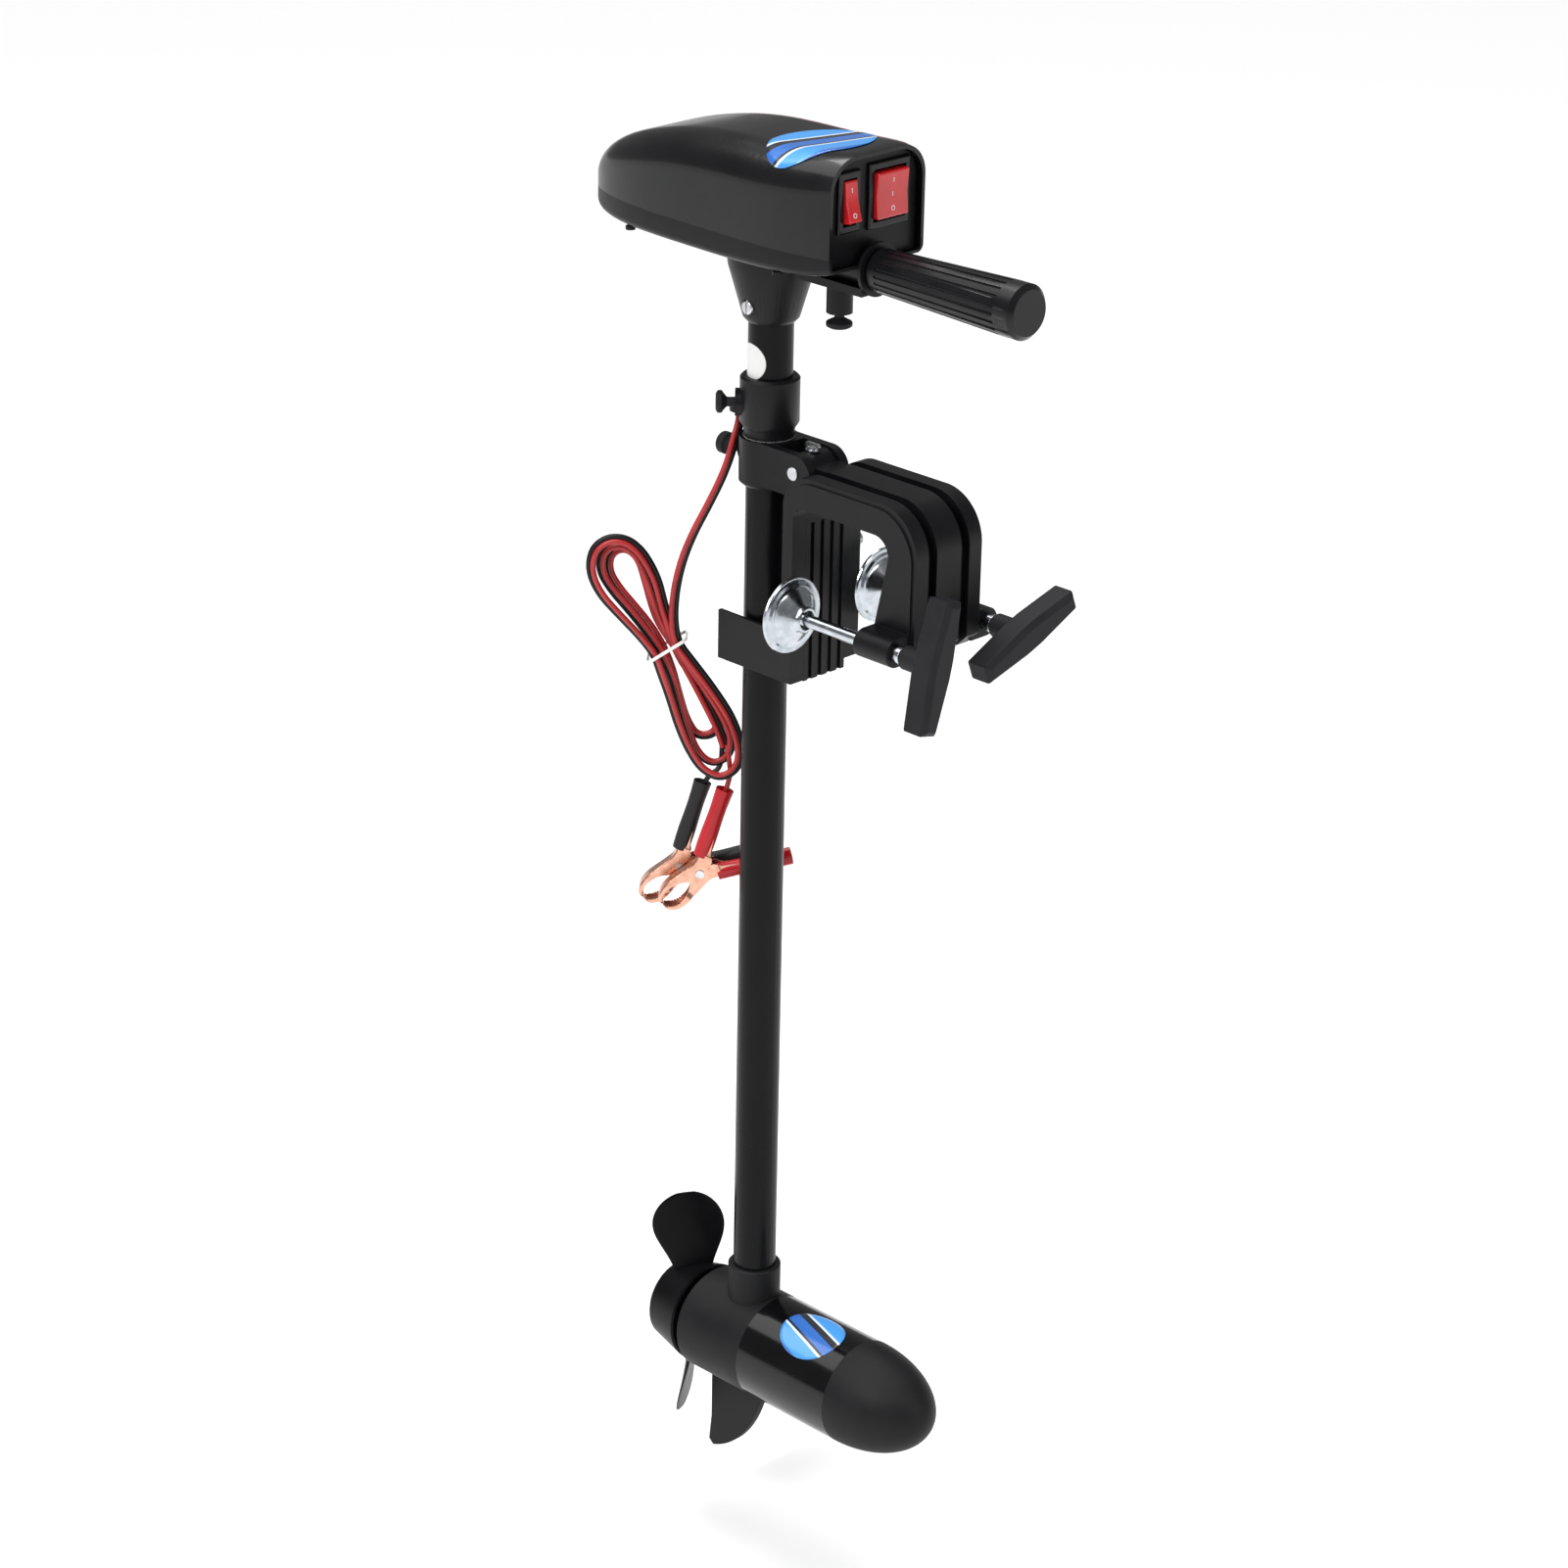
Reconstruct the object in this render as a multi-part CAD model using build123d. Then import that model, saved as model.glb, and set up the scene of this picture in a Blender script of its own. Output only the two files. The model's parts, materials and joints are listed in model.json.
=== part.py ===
from build123d import *
import os
from math import cos, sin, radians, degrees, tan, hypot, acos, pi

# Electric trolling motor for a small boat. Millimetres, +Z up along the shaft tube, +X forward
# towards the boat and the person steering, +Y to port. The origin lies on the clamp's seat,
# where a 50 mm transom board would have its middle.
os.makedirs("parts", exist_ok=True)

# ---------------------------------------------------------------- clearances
run_gap = 0.05        # radial running fit
free_gap = 0.4        # parts that pass each other freely
loose_gap = 0.2       # screws in their holes

# ---------------------------------------------------------------- clamp
board = 50.0          # transom board the seat is centred on
plate_t = 10.0        # rear plate of the clamp
clamp_len = 111.0     # rear face to front face
clamp_top_t = 20.0    # seat face to top face
plate_low = -116.0    # lower end of the rear plate
arm_low = -75.0       # lower end of the front arm
side_out = 29.7       # outer face of each side bracket
side_in = 17.7        # inner face of each side bracket
ridge_half = 10.6     # half width of the middle ridge and of the tilt lug
groove = 5.0          # depth of the grooves between ridge and sides
corner_rear, corner_front = 22.0, 30.0
inner_rear, inner_front = 8.0, 12.0
arm_top_t = 19.0      # front arm thickness under the seat
arm_low_t = 36.0      # front arm thickness at its lower end

# clamp screws, cups and T handles
screw_y = 39.5
screw_z = -64.0
screw_r = 4.0
boss_r = 9.0
boss_rear, boss_front = 70.0, 97.5     # from the plate's front face
insert_r = 6.5
cup_r = 24.0
cup_back = 9.0        # cup rim's distance from the plate
cup_depth = 11.0
cup_wall = 1.8
hub_r = 7.5
t_rear, t_front = 118.0, 136.0
t_len = 82.0
t_mid_half, t_end_half = 9.5, 6.5
t_lean = {"left": 69.0, "right": 13.6}   # each T handle's lean from upright, as it stands

# ---------------------------------------------------------------- column
shaft_off = 51.0      # shaft axis behind the plate's front face
tube_r = 14.0
tube_wall = 2.0
tube_low = -584.0
tube_high = 158.0

pin_off = 37.5        # tilt pin forward of the shaft axis
pin_z = 14.5
pin_r = 4.25
lug_r = 11.0
sleeve_r = 18.5
sleeve_low, sleeve_high = -4.0, 26.5
bush_r = 16.0
arm_in, arm_out = 11.0, 17.0
arm_end_r = 13.5
knob_reach = 41.0
knob_z = 12.0
knob_r = 7.0

collar_r = 18.5
collar_low, collar_high = 36.0, 65.0
collar_ring_r = 15.8
collar_screw_z = 47.0
collar_screw_reach = 33.0
thumb_r = 7.0

rest_low, rest_high = -121.0, -89.0
rest_gap = 2.0        # arm to tube, each side
rest_t = 3.0
rest_back = 23.0      # arms reach this far behind the shaft axis

# ---------------------------------------------------------------- head
neck_low, neck_high = 99.6, 147.0
neck_low_r, neck_high_r = 17.5, 28.0
head_wall = 2.6
seam_z = 162.0
bolt_z = 111.0        # neck bolt height
panel_u = 81.0        # switch panel's front face, forward of the shaft axis
panel_t = 2.5
lip_u = 86.0
switch_z = 193.0
# along the shaft axis offset, half width, lower and upper edge, upper and lower corner radius
head_sections = [
    (-134, 13.0, 153.0, 170.0, 7.5, 4.0),
    (-128, 24.0, 150.0, 181.0, 12.0, 5.0),
    (-114, 33.0, 148.0, 192.0, 17.0, 5.0),
    (-86, 41.0, 147.0, 204.0, 21.0, 5.0),
    (-45, 45.0, 147.0, 214.0, 23.0, 5.0),
    (10, 46.5, 147.0, 218.5, 24.0, 5.0),
    (58, 45.0, 148.5, 220.0, 23.0, 5.0),
    (86, 40.0, 153.0, 220.5, 20.0, 5.0),
]
head_screw_at = [(-86.0, 36.0), (44.0, 40.0)]
head_screw_r = 1.6

# tiller handle
tiller_z = 150.0
rod_r = 8.0
socket_r = 12.0
socket_rear, socket_front = 32.0, 84.0
rod_rear = 17.0
flange_r = 16.5
grip_rear, grip_front = 89.4, 207.0
grip_rear_r, grip_front_r = 13.4, 16.8
flutes = 20
handle_screw_u = 57.0
handle_screw_low = 107.5

# ---------------------------------------------------------------- motor pod
pod_z = -604.75
pod_r = 35.4
cap_rear, cap_front = -39.0, 19.5
tube_front = 98.7
nose_len = 60.0
pod_wall = 2.1
spigot = 4.5
socket_top = -548.0
neck_socket_r = 17.4
skeg_t = 5.0
skeg_depth = 98.3     # below the pod's axis
motor_shaft_r = 5.0
bearing_r = 11.0
seal_r = 9.0
magnet_t = 6.5
armature_r = 25.6
commutator_r = 11.0
prop_front, prop_rear = -43.0, -74.0
hub_front_r, hub_rear_r = 34.0, 28.0
blade_reach = 82.0
blade_half = 24.5
shear_pin_r = 2.0

# ---------------------------------------------------------------- cable
cord_w = 7.0          # the twin cable's width
hank_turn = 44.5      # the hank hangs in an upright plane turned this far from the X axis
hank_back = 24.0      # that plane's distance behind the shaft axis
hank_t = 15.0
lead_r = 1.7
sleeve_clip_r = 4.6
clip_jaw, clip_handle = 33.0, 58.0
clip_w = 9.0

# ---------------------------------------------------------------- worked out
plate_x = -board / 2                    # plate's front face
shaft_x = plate_x - shaft_off
pin_x = shaft_x + pin_off
tube_in = tube_r - tube_wall
column = [shaft_x, 0]


def save(name, shape):
    solids = shape.solids()
    shape = solids[0] if len(solids) == 1 else Compound(children=list(solids))
    export_step(shape, f"parts/{name}.step")
    print(f"{name:26s} {len(solids)} solid(s) {sum(s.volume for s in solids):12.1f} mm3")
    return shape


def rod(r, start, direction, length):
    return Solid.make_cylinder(r, length, Plane(origin=start, z_dir=direction))


def pipe(r_out, r_in, start, direction, length):
    d = Vector(*direction).normalized()
    inner = rod(r_in, Vector(*start) - d, direction, length + 2)
    return rod(r_out, start, direction, length) - inner


def block(x0, x1, y0, y1, z0, z1):
    return Pos((x0 + x1) / 2, (y0 + y1) / 2, (z0 + z1) / 2) * Box(x1 - x0, y1 - y0, z1 - z0)


def turned(points, origin, axis_x, axis_r):
    """Solid of revolution: points are (along, radius), the axis runs through origin."""
    plane = Plane(origin=origin, x_dir=axis_x, z_dir=Vector(*axis_x).cross(Vector(*axis_r)))
    face = plane * make_face(Polyline(*points, close=True))
    return revolve(face, Axis(origin, axis_x), 360)


def side_outline(points, radii, y0, y1):
    """Prism between two Y planes from an XZ outline with rounded corners."""
    sketch = make_face(Polyline(*points, close=True))
    for (x, z), r in zip(points, radii):
        if r > 0:
            corner = sketch.vertices().sort_by_distance(Vector(x, z, 0))[0]
            sketch = fillet(corner, r)
    plane = Plane(origin=(0, y1, 0), x_dir=(1, 0, 0), z_dir=(0, -1, 0))
    return extrude(plane * sketch, y1 - y0)


def both_sides(make):
    return {"left": make(1), "right": make(-1)}


# ---------------------------------------------------------------- clamp
def clamp_outline(inset, y0, y1, low=plate_low, ear=0.0):
    back, front = plate_x - plate_t, plate_x - plate_t + clamp_len
    top = clamp_top_t - inset
    points = [
        (back + inset, low), (back + inset, top), (front - inset, top), (front - inset, arm_low + 8),
        (front - inset - 8, arm_low), (front - arm_low_t, arm_low), (front - arm_top_t, 0),
        (plate_x, 0), (plate_x, low),
    ]
    radii = [0, corner_rear, corner_front, 0, 0, 0, inner_front, inner_rear, 0]
    return side_outline(points, radii, y0, y1)


def tilt_lug():
    near = rod(lug_r, (pin_x, -ridge_half, pin_z), (0, 1, 0), 2 * ridge_half)
    web = block(pin_x, pin_x + 24, -ridge_half, ridge_half, pin_z - lug_r, clamp_top_t - 0.5)
    return near + web


def clamp_frame():
    ridge = clamp_outline(0, -ridge_half, ridge_half)
    waist = clamp_outline(groove, -side_in, side_in)
    sweep = rod(arm_end_r + 2, (pin_x, -side_in, pin_z), (0, 1, 0), side_in - ridge_half)
    sweep += rod(arm_end_r + 2, (pin_x, ridge_half, pin_z), (0, 1, 0), side_in - ridge_half)
    frame = ridge + (waist - sweep) + tilt_lug()
    frame -= rod(pin_r, (pin_x, -side_in, pin_z), (0, 1, 0), 2 * side_in)
    frame -= rod(tension_r + loose_gap, (pin_x, 0, pin_z), (0, 0, 1), 30)
    for y in (-12.6, -4.2, 4.2, 12.6):   # moulded grooves down the plate's front face
        frame -= block(plate_x - 1.5, plate_x + 1, y - 1.6, y + 1.6, plate_low - 1, -14)
    for x, z in clamp_bolt_at:
        frame -= rod(clamp_bolt_r + loose_gap, (x, -side_in, z), (0, 1, 0), 2 * side_in)
    for z in rest_screw_z:
        frame -= rod(rest_screw_r, (plate_x - plate_t - 1, 0, z), (1, 0, 0), 8)
    return frame


tension_r = 2.5
clamp_bolt_r = 2.5
clamp_bolt_at = [
    (plate_x - plate_t / 2, -36.0), (plate_x - plate_t / 2, -104.0),
    (plate_x + clamp_len - plate_t - 12, -24.0), (plate_x + clamp_len - plate_t - 24, 10.0),
]
rest_screw_r = 2.0
rest_screw_z = [-98.0, -112.0]


def clamp_side(sign):
    y0, y1 = sorted((sign * side_in, sign * side_out))
    side = clamp_outline(0, y0, y1, low=plate_low + 6)
    # a shallow step round the flange, as the moulding has
    step = clamp_outline(0, *sorted((sign * (side_out - 3), sign * (side_out + 1))), low=plate_low)
    inner = clamp_outline(3.0, *sorted((sign * (side_out - 3), sign * (side_out + 1))), low=plate_low)
    side -= (step - inner) & block(-200, 200, *sorted((sign * (side_out - 1.2), sign * (side_out + 2))),
                                   -200, 200)
    length = boss_front - boss_rear
    side += rod(boss_r, (plate_x + boss_rear, sign * screw_y, screw_z), (1, 0, 0), length)
    web_y = sorted((sign * (side_out - 4), sign * screw_y))
    side += block(plate_x + boss_rear, plate_x + boss_front, *web_y, screw_z - boss_r, screw_z + boss_r)
    hole = rod(insert_r, (plate_x + boss_rear - 1, sign * screw_y, screw_z), (1, 0, 0), length + 2)
    side -= hole
    deep = (side_out - side_in) + 2 if sign > 0 else (side_out - side_in) / 2
    for x, z in clamp_bolt_at:
        side -= rod(clamp_bolt_r + loose_gap, (x, sign * (side_in - 0.5), z), (0, sign, 0), deep)
    return side


def clamp_bolts():
    bolts = []
    near_end = -(side_in + (side_out - side_in) / 2 - 1)
    for x, z in clamp_bolt_at:
        shank = rod(clamp_bolt_r, (x, near_end, z), (0, 1, 0), side_out - near_end)
        head = rod(clamp_bolt_r * 1.8, (x, side_out, z), (0, 1, 0), 3)
        socket = rod(clamp_bolt_r * 0.8, (x, side_out + 1.2, z), (0, 1, 0), 3)
        bolts.append(shank + head - socket)
    return bolts


def shaft_rest():
    arm_y = tube_r + rest_gap
    back = plate_x - plate_t
    web = block(back - 4, back, -arm_y - rest_t, arm_y + rest_t, rest_low, rest_high)
    shape = web
    for s in (-1, 1):
        y0, y1 = sorted((s * arm_y, s * (arm_y + rest_t)))
        shape += block(shaft_x - rest_back, back - 2, y0, y1, rest_low, rest_high)
    for z in rest_screw_z:
        shape -= rod(rest_screw_r + loose_gap, (back - 6, 0, z), (1, 0, 0), 8)
    return shape


def rest_screws():
    back = plate_x - plate_t - 4
    made = []
    for z in rest_screw_z:
        shank = rod(rest_screw_r - 0.05, (back, 0, z), (1, 0, 0), 10)
        made.append(shank + rod(rest_screw_r * 1.9, (back - 2.4, 0, z), (1, 0, 0), 2.4))
    return made


# ---------------------------------------------------------------- clamp screws
def screw_inserts():
    made = []
    for s in (-1, 1):
        start = (plate_x + boss_rear, s * screw_y, screw_z)
        made.append(pipe(insert_r - 0.02, screw_r + 0.1, start, (1, 0, 0), boss_front - boss_rear))
    return Compound(children=made)


def cup(sign):
    c = (plate_x + cup_back, sign * screw_y, screw_z)
    profile = [
        (0, cup_r - 1.5), (0, cup_r), (cup_wall, cup_r), (cup_wall + 0.6, cup_r - 2.2),
        (cup_depth, hub_r + 1.0), (cup_depth + 3.5, hub_r), (cup_depth + 3.5, screw_r + run_gap),
        (cup_depth - 2.0, screw_r + run_gap), (cup_depth - 2.0, hub_r), (cup_wall, cup_r - 3.6),
    ]
    return turned(profile, c, (1, 0, 0), (0, 0, 1))


screw_start = cup_back + cup_depth - 4.0


def clamp_screw(sign):
    c = (plate_x + screw_start, sign * screw_y, screw_z)
    shank = rod(screw_r, c, (1, 0, 0), t_rear + 6 - screw_start)
    button = rod(hub_r - 1.2, c, (1, 0, 0), 1.8)
    nut = rod(screw_r + 1.6, (plate_x + boss_front + 1.6, sign * screw_y, screw_z), (1, 0, 0), 4.4)
    return shank + button + nut


def t_handle(sign, lean):
    # the bar is an upright plank, thickest in the middle, with bevelled long edges
    h, m, e = t_len / 2, t_mid_half, t_end_half
    outline = [(-e, -h), (e, -h), (m, -h * 0.15), (m, h * 0.15), (e, h), (-e, h), (-m, h * 0.15), (-m, -h * 0.15)]
    plane = Plane(origin=(plate_x + t_rear, 0, 0), x_dir=(0, 1, 0), z_dir=(1, 0, 0))
    bar = extrude(plane * make_face(Polyline(*outline, close=True)), t_front - t_rear)
    bar = chamfer(bar.faces().sort_by(Axis.X)[-1].edges(), 3.2)
    bar = chamfer(bar.faces().sort_by(Axis.X)[0].edges(), 1.6)
    neck = rod(hub_r, (plate_x + boss_front + 8, 0, 0), (1, 0, 0), t_rear - boss_front - 6)
    handle = bar + neck
    handle -= rod(screw_r, (plate_x + boss_front, 0, 0), (1, 0, 0), t_rear + 6 - boss_front)
    return Pos(0, sign * screw_y, screw_z) * Rot(-lean, 0, 0) * handle


# ---------------------------------------------------------------- tilt and steering pivot
def pivot_sleeve():
    height = sleeve_high - sleeve_low
    body = rod(sleeve_r, (shaft_x, 0, sleeve_low), (0, 0, 1), height)
    body = chamfer(body.edges().sort_by(Axis.Z)[0], 2.0)
    arm_low_z = pin_z - 1.5 - arm_end_r
    shape = body
    for s in (-1, 1):
        y0, y1 = sorted((s * arm_in, s * arm_out))
        arm = block(shaft_x + 4, pin_x + 1, y0, y1, arm_low_z, sleeve_high)
        arm += rod(arm_end_r, (pin_x + 1, y0, pin_z - 1.5), (0, 1, 0), y1 - y0)
        shape += arm
    bridge = block(shaft_x + 4, shaft_x + sleeve_r + 0.3, -arm_in, arm_in, sleeve_low + 4, sleeve_high)
    shape += bridge
    shape += rod(6.5, (shaft_x - sleeve_r - 2.5, 0, knob_z), (1, 0, 0), 5)
    shape -= rod(bush_r, (shaft_x, 0, sleeve_low - 1), (0, 0, 1), height + 2)
    shape -= rod(pin_r + run_gap, (pin_x, -arm_out - 1, pin_z), (0, 1, 0), 2 * arm_out + 2)
    shape -= rod(knob_stem_r + loose_gap, (shaft_x - sleeve_r - 4, 0, knob_z), (1, 0, 0), 10)
    return shape


knob_stem_r = 3.0


def sleeve_bush():
    height = sleeve_high - sleeve_low
    bush = pipe(bush_r - 0.01, tube_r + run_gap, (shaft_x, 0, sleeve_low), (0, 0, 1), height)
    return bush - rod(knob_stem_r + loose_gap, (shaft_x - bush_r - 1, 0, knob_z), (1, 0, 0), 4)


def thumb_screw(reach, stem_from, head_r, stem_r, head_t, neck=4.0):
    """Thumb screw along +X from the axis outwards, with a waisted mushroom head."""
    profile = [
        (stem_from, 0), (stem_from, stem_r), (reach - head_t - neck, stem_r),
        (reach - head_t, head_r * 0.8), (reach - head_t + 0.8, head_r), (reach - 1.2, head_r),
        (reach, head_r * 0.72), (reach, 0),
    ]
    return turned(profile, (0, 0, 0), (1, 0, 0), (0, 0, 1))


def steering_knob():
    knob = thumb_screw(knob_reach, tube_r + 0.6, knob_r, knob_stem_r, 7.0)
    return Pos(shaft_x, 0, knob_z) * Rot(0, 0, 180) * knob


def tilt_pin():
    pin = rod(pin_r, (pin_x, -arm_out - 0.8, pin_z), (0, 1, 0), 2 * arm_out + 1.6)
    return pin


def tilt_tension_screw():
    low = pin_z + pin_r + 0.3
    stem = rod(tension_r, (pin_x, 0, low), (0, 0, 1), 27.5 - low)
    washer = rod(4.6, (pin_x, 0, pin_z + lug_r + 0.3), (0, 0, 1), 0.9)
    head = rod(3.6, (pin_x, 0, 26.4), (0, 0, 1), 1.6)
    wing = block(pin_x - 5.5, pin_x + 5.5, -1.1, 1.1, 26.6, 30.5)
    wing = fillet(wing.edges().filter_by(Axis.Y), 1.6)
    return stem + washer + head + wing


# ---------------------------------------------------------------- depth collar
def depth_collar():
    profile = [
        (sleeve_high + 0.3, tube_r + run_gap), (sleeve_high + 0.3, collar_ring_r),
        (collar_low - 4.4, collar_ring_r), (collar_low, collar_r), (collar_high - 1.5, collar_r),
        (collar_high, collar_r - 1.5), (collar_high, tube_r + run_gap),
    ]
    shape = turned(profile, (shaft_x, 0, 0), (0, 0, 1), (1, 0, 0))
    out = hang_direction(-1, 0)
    start = hang(-tube_r - 1.5, collar_screw_z, 0)
    shape += rod(8.6, start, out, 21.2 - tube_r - 1.5)
    guide = rod(cord_w / 2 + 4, hang(guide_s, guide_low, guide_q), (0, 0, 1), 6.5)
    shape += guide - rod(tube_r + 1, (shaft_x, 0, 30), (0, 0, 1), 40)
    shape -= rod(cord_w / 2 + 1.6, hang(guide_s, guide_low - 1, guide_q), (0, 0, 1), 30)
    shape -= rod(knob_stem_r + loose_gap, hang(-tube_r + 2, collar_screw_z, 0), out, 12)
    return shape


guide_s, guide_q, guide_low = -17.3, -15.0, 37.0


def hang(s, h, q):
    """Point in the hanging plane's own directions: s across, h up, q out of it, from the shaft."""
    a = radians(hank_turn)
    return (shaft_x + s * cos(a) + q * sin(a), s * sin(a) - q * cos(a), h)


def hang_direction(s, h, q=0.0):
    a = radians(hank_turn)
    return (s * cos(a) + q * sin(a), s * sin(a) - q * cos(a), h)


def collar_thumb_screw():
    screw = thumb_screw(collar_screw_reach, tube_r + 0.4, thumb_r, knob_stem_r, 4.6, neck=2.2)
    return Pos(shaft_x, 0, collar_screw_z) * Rot(0, 0, 180 + hank_turn) * screw


# ---------------------------------------------------------------- shaft tube and what it holds
def shaft_tube():
    tube = pipe(tube_r, tube_in, (shaft_x, 0, tube_low), (0, 0, 1), tube_high - tube_low)
    return tube - rod(neck_bolt_r + loose_gap, (shaft_x, -tube_r - 2, bolt_z), (0, 1, 0), 2 * tube_r + 4)


neck_bolt_r = 2.5


def motor_leads():
    made = []
    for x in (-5.2, 5.2):
        made.append(rod(2.2, (shaft_x + x, 7.0, tube_low - 2), (0, 0, 1), tube_high - tube_low + 8))
    return Compound(children=made)


def neck():
    slope_end = 134.5
    profile = [
        (neck_low, tube_r + 0.1), (neck_low, tube_r + 1.0), (neck_low + 2.7, neck_low_r),
        (slope_end, neck_high_r - 1.2), (neck_high - 4, neck_high_r), (neck_high - 4, neck_high_r + 2),
        (neck_high, neck_high_r + 2), (neck_high, tube_r + 0.1),
    ]
    shape = turned(profile, (shaft_x, 0, 0), (0, 0, 1), (1, 0, 0))
    shape -= rod(neck_bolt_r + loose_gap, (shaft_x, -40, bolt_z), (0, 1, 0), 80)
    for s in (-1, 1):
        shape -= rod(4.9, (shaft_x, s * neck_spot, bolt_z), (0, s, 0), 12)
    return shape - rod_channel(free_gap) - outer


neck_spot = 18.6      # spot faces for the neck bolt's head and nut


def neck_bolt():
    bolt = rod(neck_bolt_r, (shaft_x, -neck_spot, bolt_z), (0, 1, 0), 2 * neck_spot + 3.5)
    head = rod(4.4, (shaft_x, -neck_spot - 3, bolt_z), (0, 1, 0), 3)
    head = fillet(head.edges().sort_by(Axis.Y)[0], 1.2)
    slot = block(shaft_x - 0.6, shaft_x + 0.6, -neck_spot - 4, -neck_spot - 2, bolt_z - 5, bolt_z + 5)
    return bolt + (head - slot)


def neck_nut():
    nut = Pos(shaft_x, 0, bolt_z) * Rot(-90, 0, 0) * extrude(RegularPolygon(4.4, 6), 2.6)
    nut = Pos(0, neck_spot, 0) * nut
    return nut - rod(neck_bolt_r, (shaft_x, 0, bolt_z), (0, 1, 0), 60)


# ---------------------------------------------------------------- head
def head_loft(inset, front=lip_u, rear_in=0.0):
    faces = []
    for u, half, low, high, r_top, r_low in head_sections:
        if u == head_sections[0][0]:
            u += rear_in
            # the rear end's skin is thicker than the sides, where the shell closes
            half, low, high = half - inset, low + inset, high - inset
            r_top, r_low = max(r_top - inset, 1.5), max(r_low - inset, 1.5)
        else:
            if u == head_sections[-1][0]:
                u = front
            half, low, high = half - inset, low + inset, high - inset
            r_top, r_low = r_top - inset, max(r_low - inset, 1.5)
        plane = Plane(origin=(shaft_x + u, 0, (low + high) / 2), x_dir=(0, 1, 0), z_dir=(1, 0, 0))
        sketch = Rectangle(2 * half, high - low)
        sketch = fillet(sketch.vertices().sort_by(Axis.Y)[2:], r_top)
        sketch = fillet(sketch.vertices().sort_by(Axis.Y)[:2], r_low)
        faces.append(plane * sketch)
    return loft(faces)


def above(z):
    return block(shaft_x - 200, shaft_x + 200, -100, 100, z, z + 200)


def below(z):
    return block(shaft_x - 200, shaft_x + 200, -100, 100, z - 200, z)


def rod_channel(gap):
    return rod(rod_r + gap, (shaft_x + rod_rear - 1.5, 0, tiller_z), (1, 0, 0), 30)


def tiller_channel(gap):
    end = lip_u + 6 - socket_rear + 3
    channel = rod(socket_r + gap, (shaft_x + socket_rear - 3, 0, tiller_z), (1, 0, 0), end)
    wide = socket_r + gap
    return channel + block(shaft_x + socket_rear - 3, shaft_x + lip_u + 6, -wide, wide, 120, tiller_z)


def cowl_cover(outer, inner, posts):
    shell = (outer - inner) & above(seam_z)
    for post in posts:
        shell += post
    for u, y in head_screw_at:
        for s in (-1, 1):
            shell -= rod(head_screw_r + 0.05, (shaft_x + u, s * y, 140), (0, 0, 1), 34)
    return shell


def cowl_posts(inner, roomy):
    posts = []
    for u, y in head_screw_at:
        for s in (-1, 1):
            post = rod(4.2, (shaft_x + u, s * y, 151.2), (0, 0, 1), 30)
            upper = post & above(seam_z) & head_loft(head_wall - 0.6, front=lip_u + 2, rear_in=head_wall)
            posts.append(upper + (post & below(seam_z) & roomy))
    return posts


def cowl_base(outer, inner):
    shell = (outer - inner) & below(seam_z)
    shell -= tiller_channel(free_gap)
    shell -= rod_channel(free_gap)
    shell -= rod(tube_r + 1, (shaft_x, 0, 140), (0, 0, 1), 20)
    shell -= rod(gland_r + 0.05, hang(0, 140, gland_q), (0, 0, 1), 12)
    for u, y in head_screw_at:
        for s in (-1, 1):
            shell -= rod(head_screw_r + loose_gap, (shaft_x + u, s * y, 140), (0, 0, 1), 14)
    for s in (-1, 1):
        shell -= rod(head_screw_r, (shaft_x + ear_u, s * ear_y, 140), (0, 0, 1), 14)
    return shell


gland_r, gland_q = 5.6, -38.0
ear_u, ear_y = 46.0, 19.0
base_floor = 147.0


def head_screws():
    made = []
    places = [(u, s * y, base_floor + floor_rise(u)) for u, y in head_screw_at for s in (-1, 1)]
    places += [(ear_u, s * ear_y, base_floor - 3.2) for s in (-1, 1)]
    for u, y, z in places:
        shank = rod(head_screw_r - 0.05, (shaft_x + u, y, z), (0, 0, 1), 12 if abs(y) > ear_y else 6.5)
        head = rod(3.1, (shaft_x + u, y, z - 2.2), (0, 0, 1), 2.2)
        made.append(shank + head)
    return Compound(children=made)


def floor_rise(u):
    return -0.6 if u < 0 else 0.0


def switch_panel():
    plate = head_loft(head_wall + 0.25, front=lip_u + 2, rear_in=head_wall)
    plate &= block(shaft_x + panel_u - panel_t, shaft_x + panel_u, -100, 100, 100, 300)
    plate -= tiller_channel(free_gap)
    for y, w, h in (narrow, wide):
        plate -= block(shaft_x + panel_u - 10, shaft_x + panel_u + 10, y - w / 2 + 2.5, y + w / 2 - 2.5,
                       switch_z - h / 2 + 2.5, switch_z + h / 2 - 2.5)
    return plate


narrow = (-21.0, 18.0, 37.0)     # centre in Y, bezel width, bezel height
wide = (12.5, 34.0, 40.0)
bezel_t = 2.6
rocker_rest = 11.0               # the two-way rocker rests tipped this far


def switch_case(size):
    y, w, h = size
    front = shaft_x + panel_u
    bezel = block(front, front + bezel_t, y - w / 2, y + w / 2, switch_z - h / 2, switch_z + h / 2)
    bezel = chamfer(bezel.faces().sort_by(Axis.X)[-1].edges(), 0.8)
    a, b = w / 2 - 2.5 - 0.15, h / 2 - 2.5 - 0.15
    case = block(front - 22, front, y - a, y + a, switch_z - b, switch_z + b)
    a2, b2 = w / 2 - 3.6, h / 2 - 4.4
    shape = bezel + case - block(front - 14, front + 5, y - a2, y + a2, switch_z - b2, switch_z + b2)
    for s in (-1, 1):   # two terminals
        shape += block(front - 30, front - 21, y - 2.5, y + 2.5, switch_z + s * 8 - 0.4, switch_z + s * 8 + 0.4)
    return shape


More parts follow.
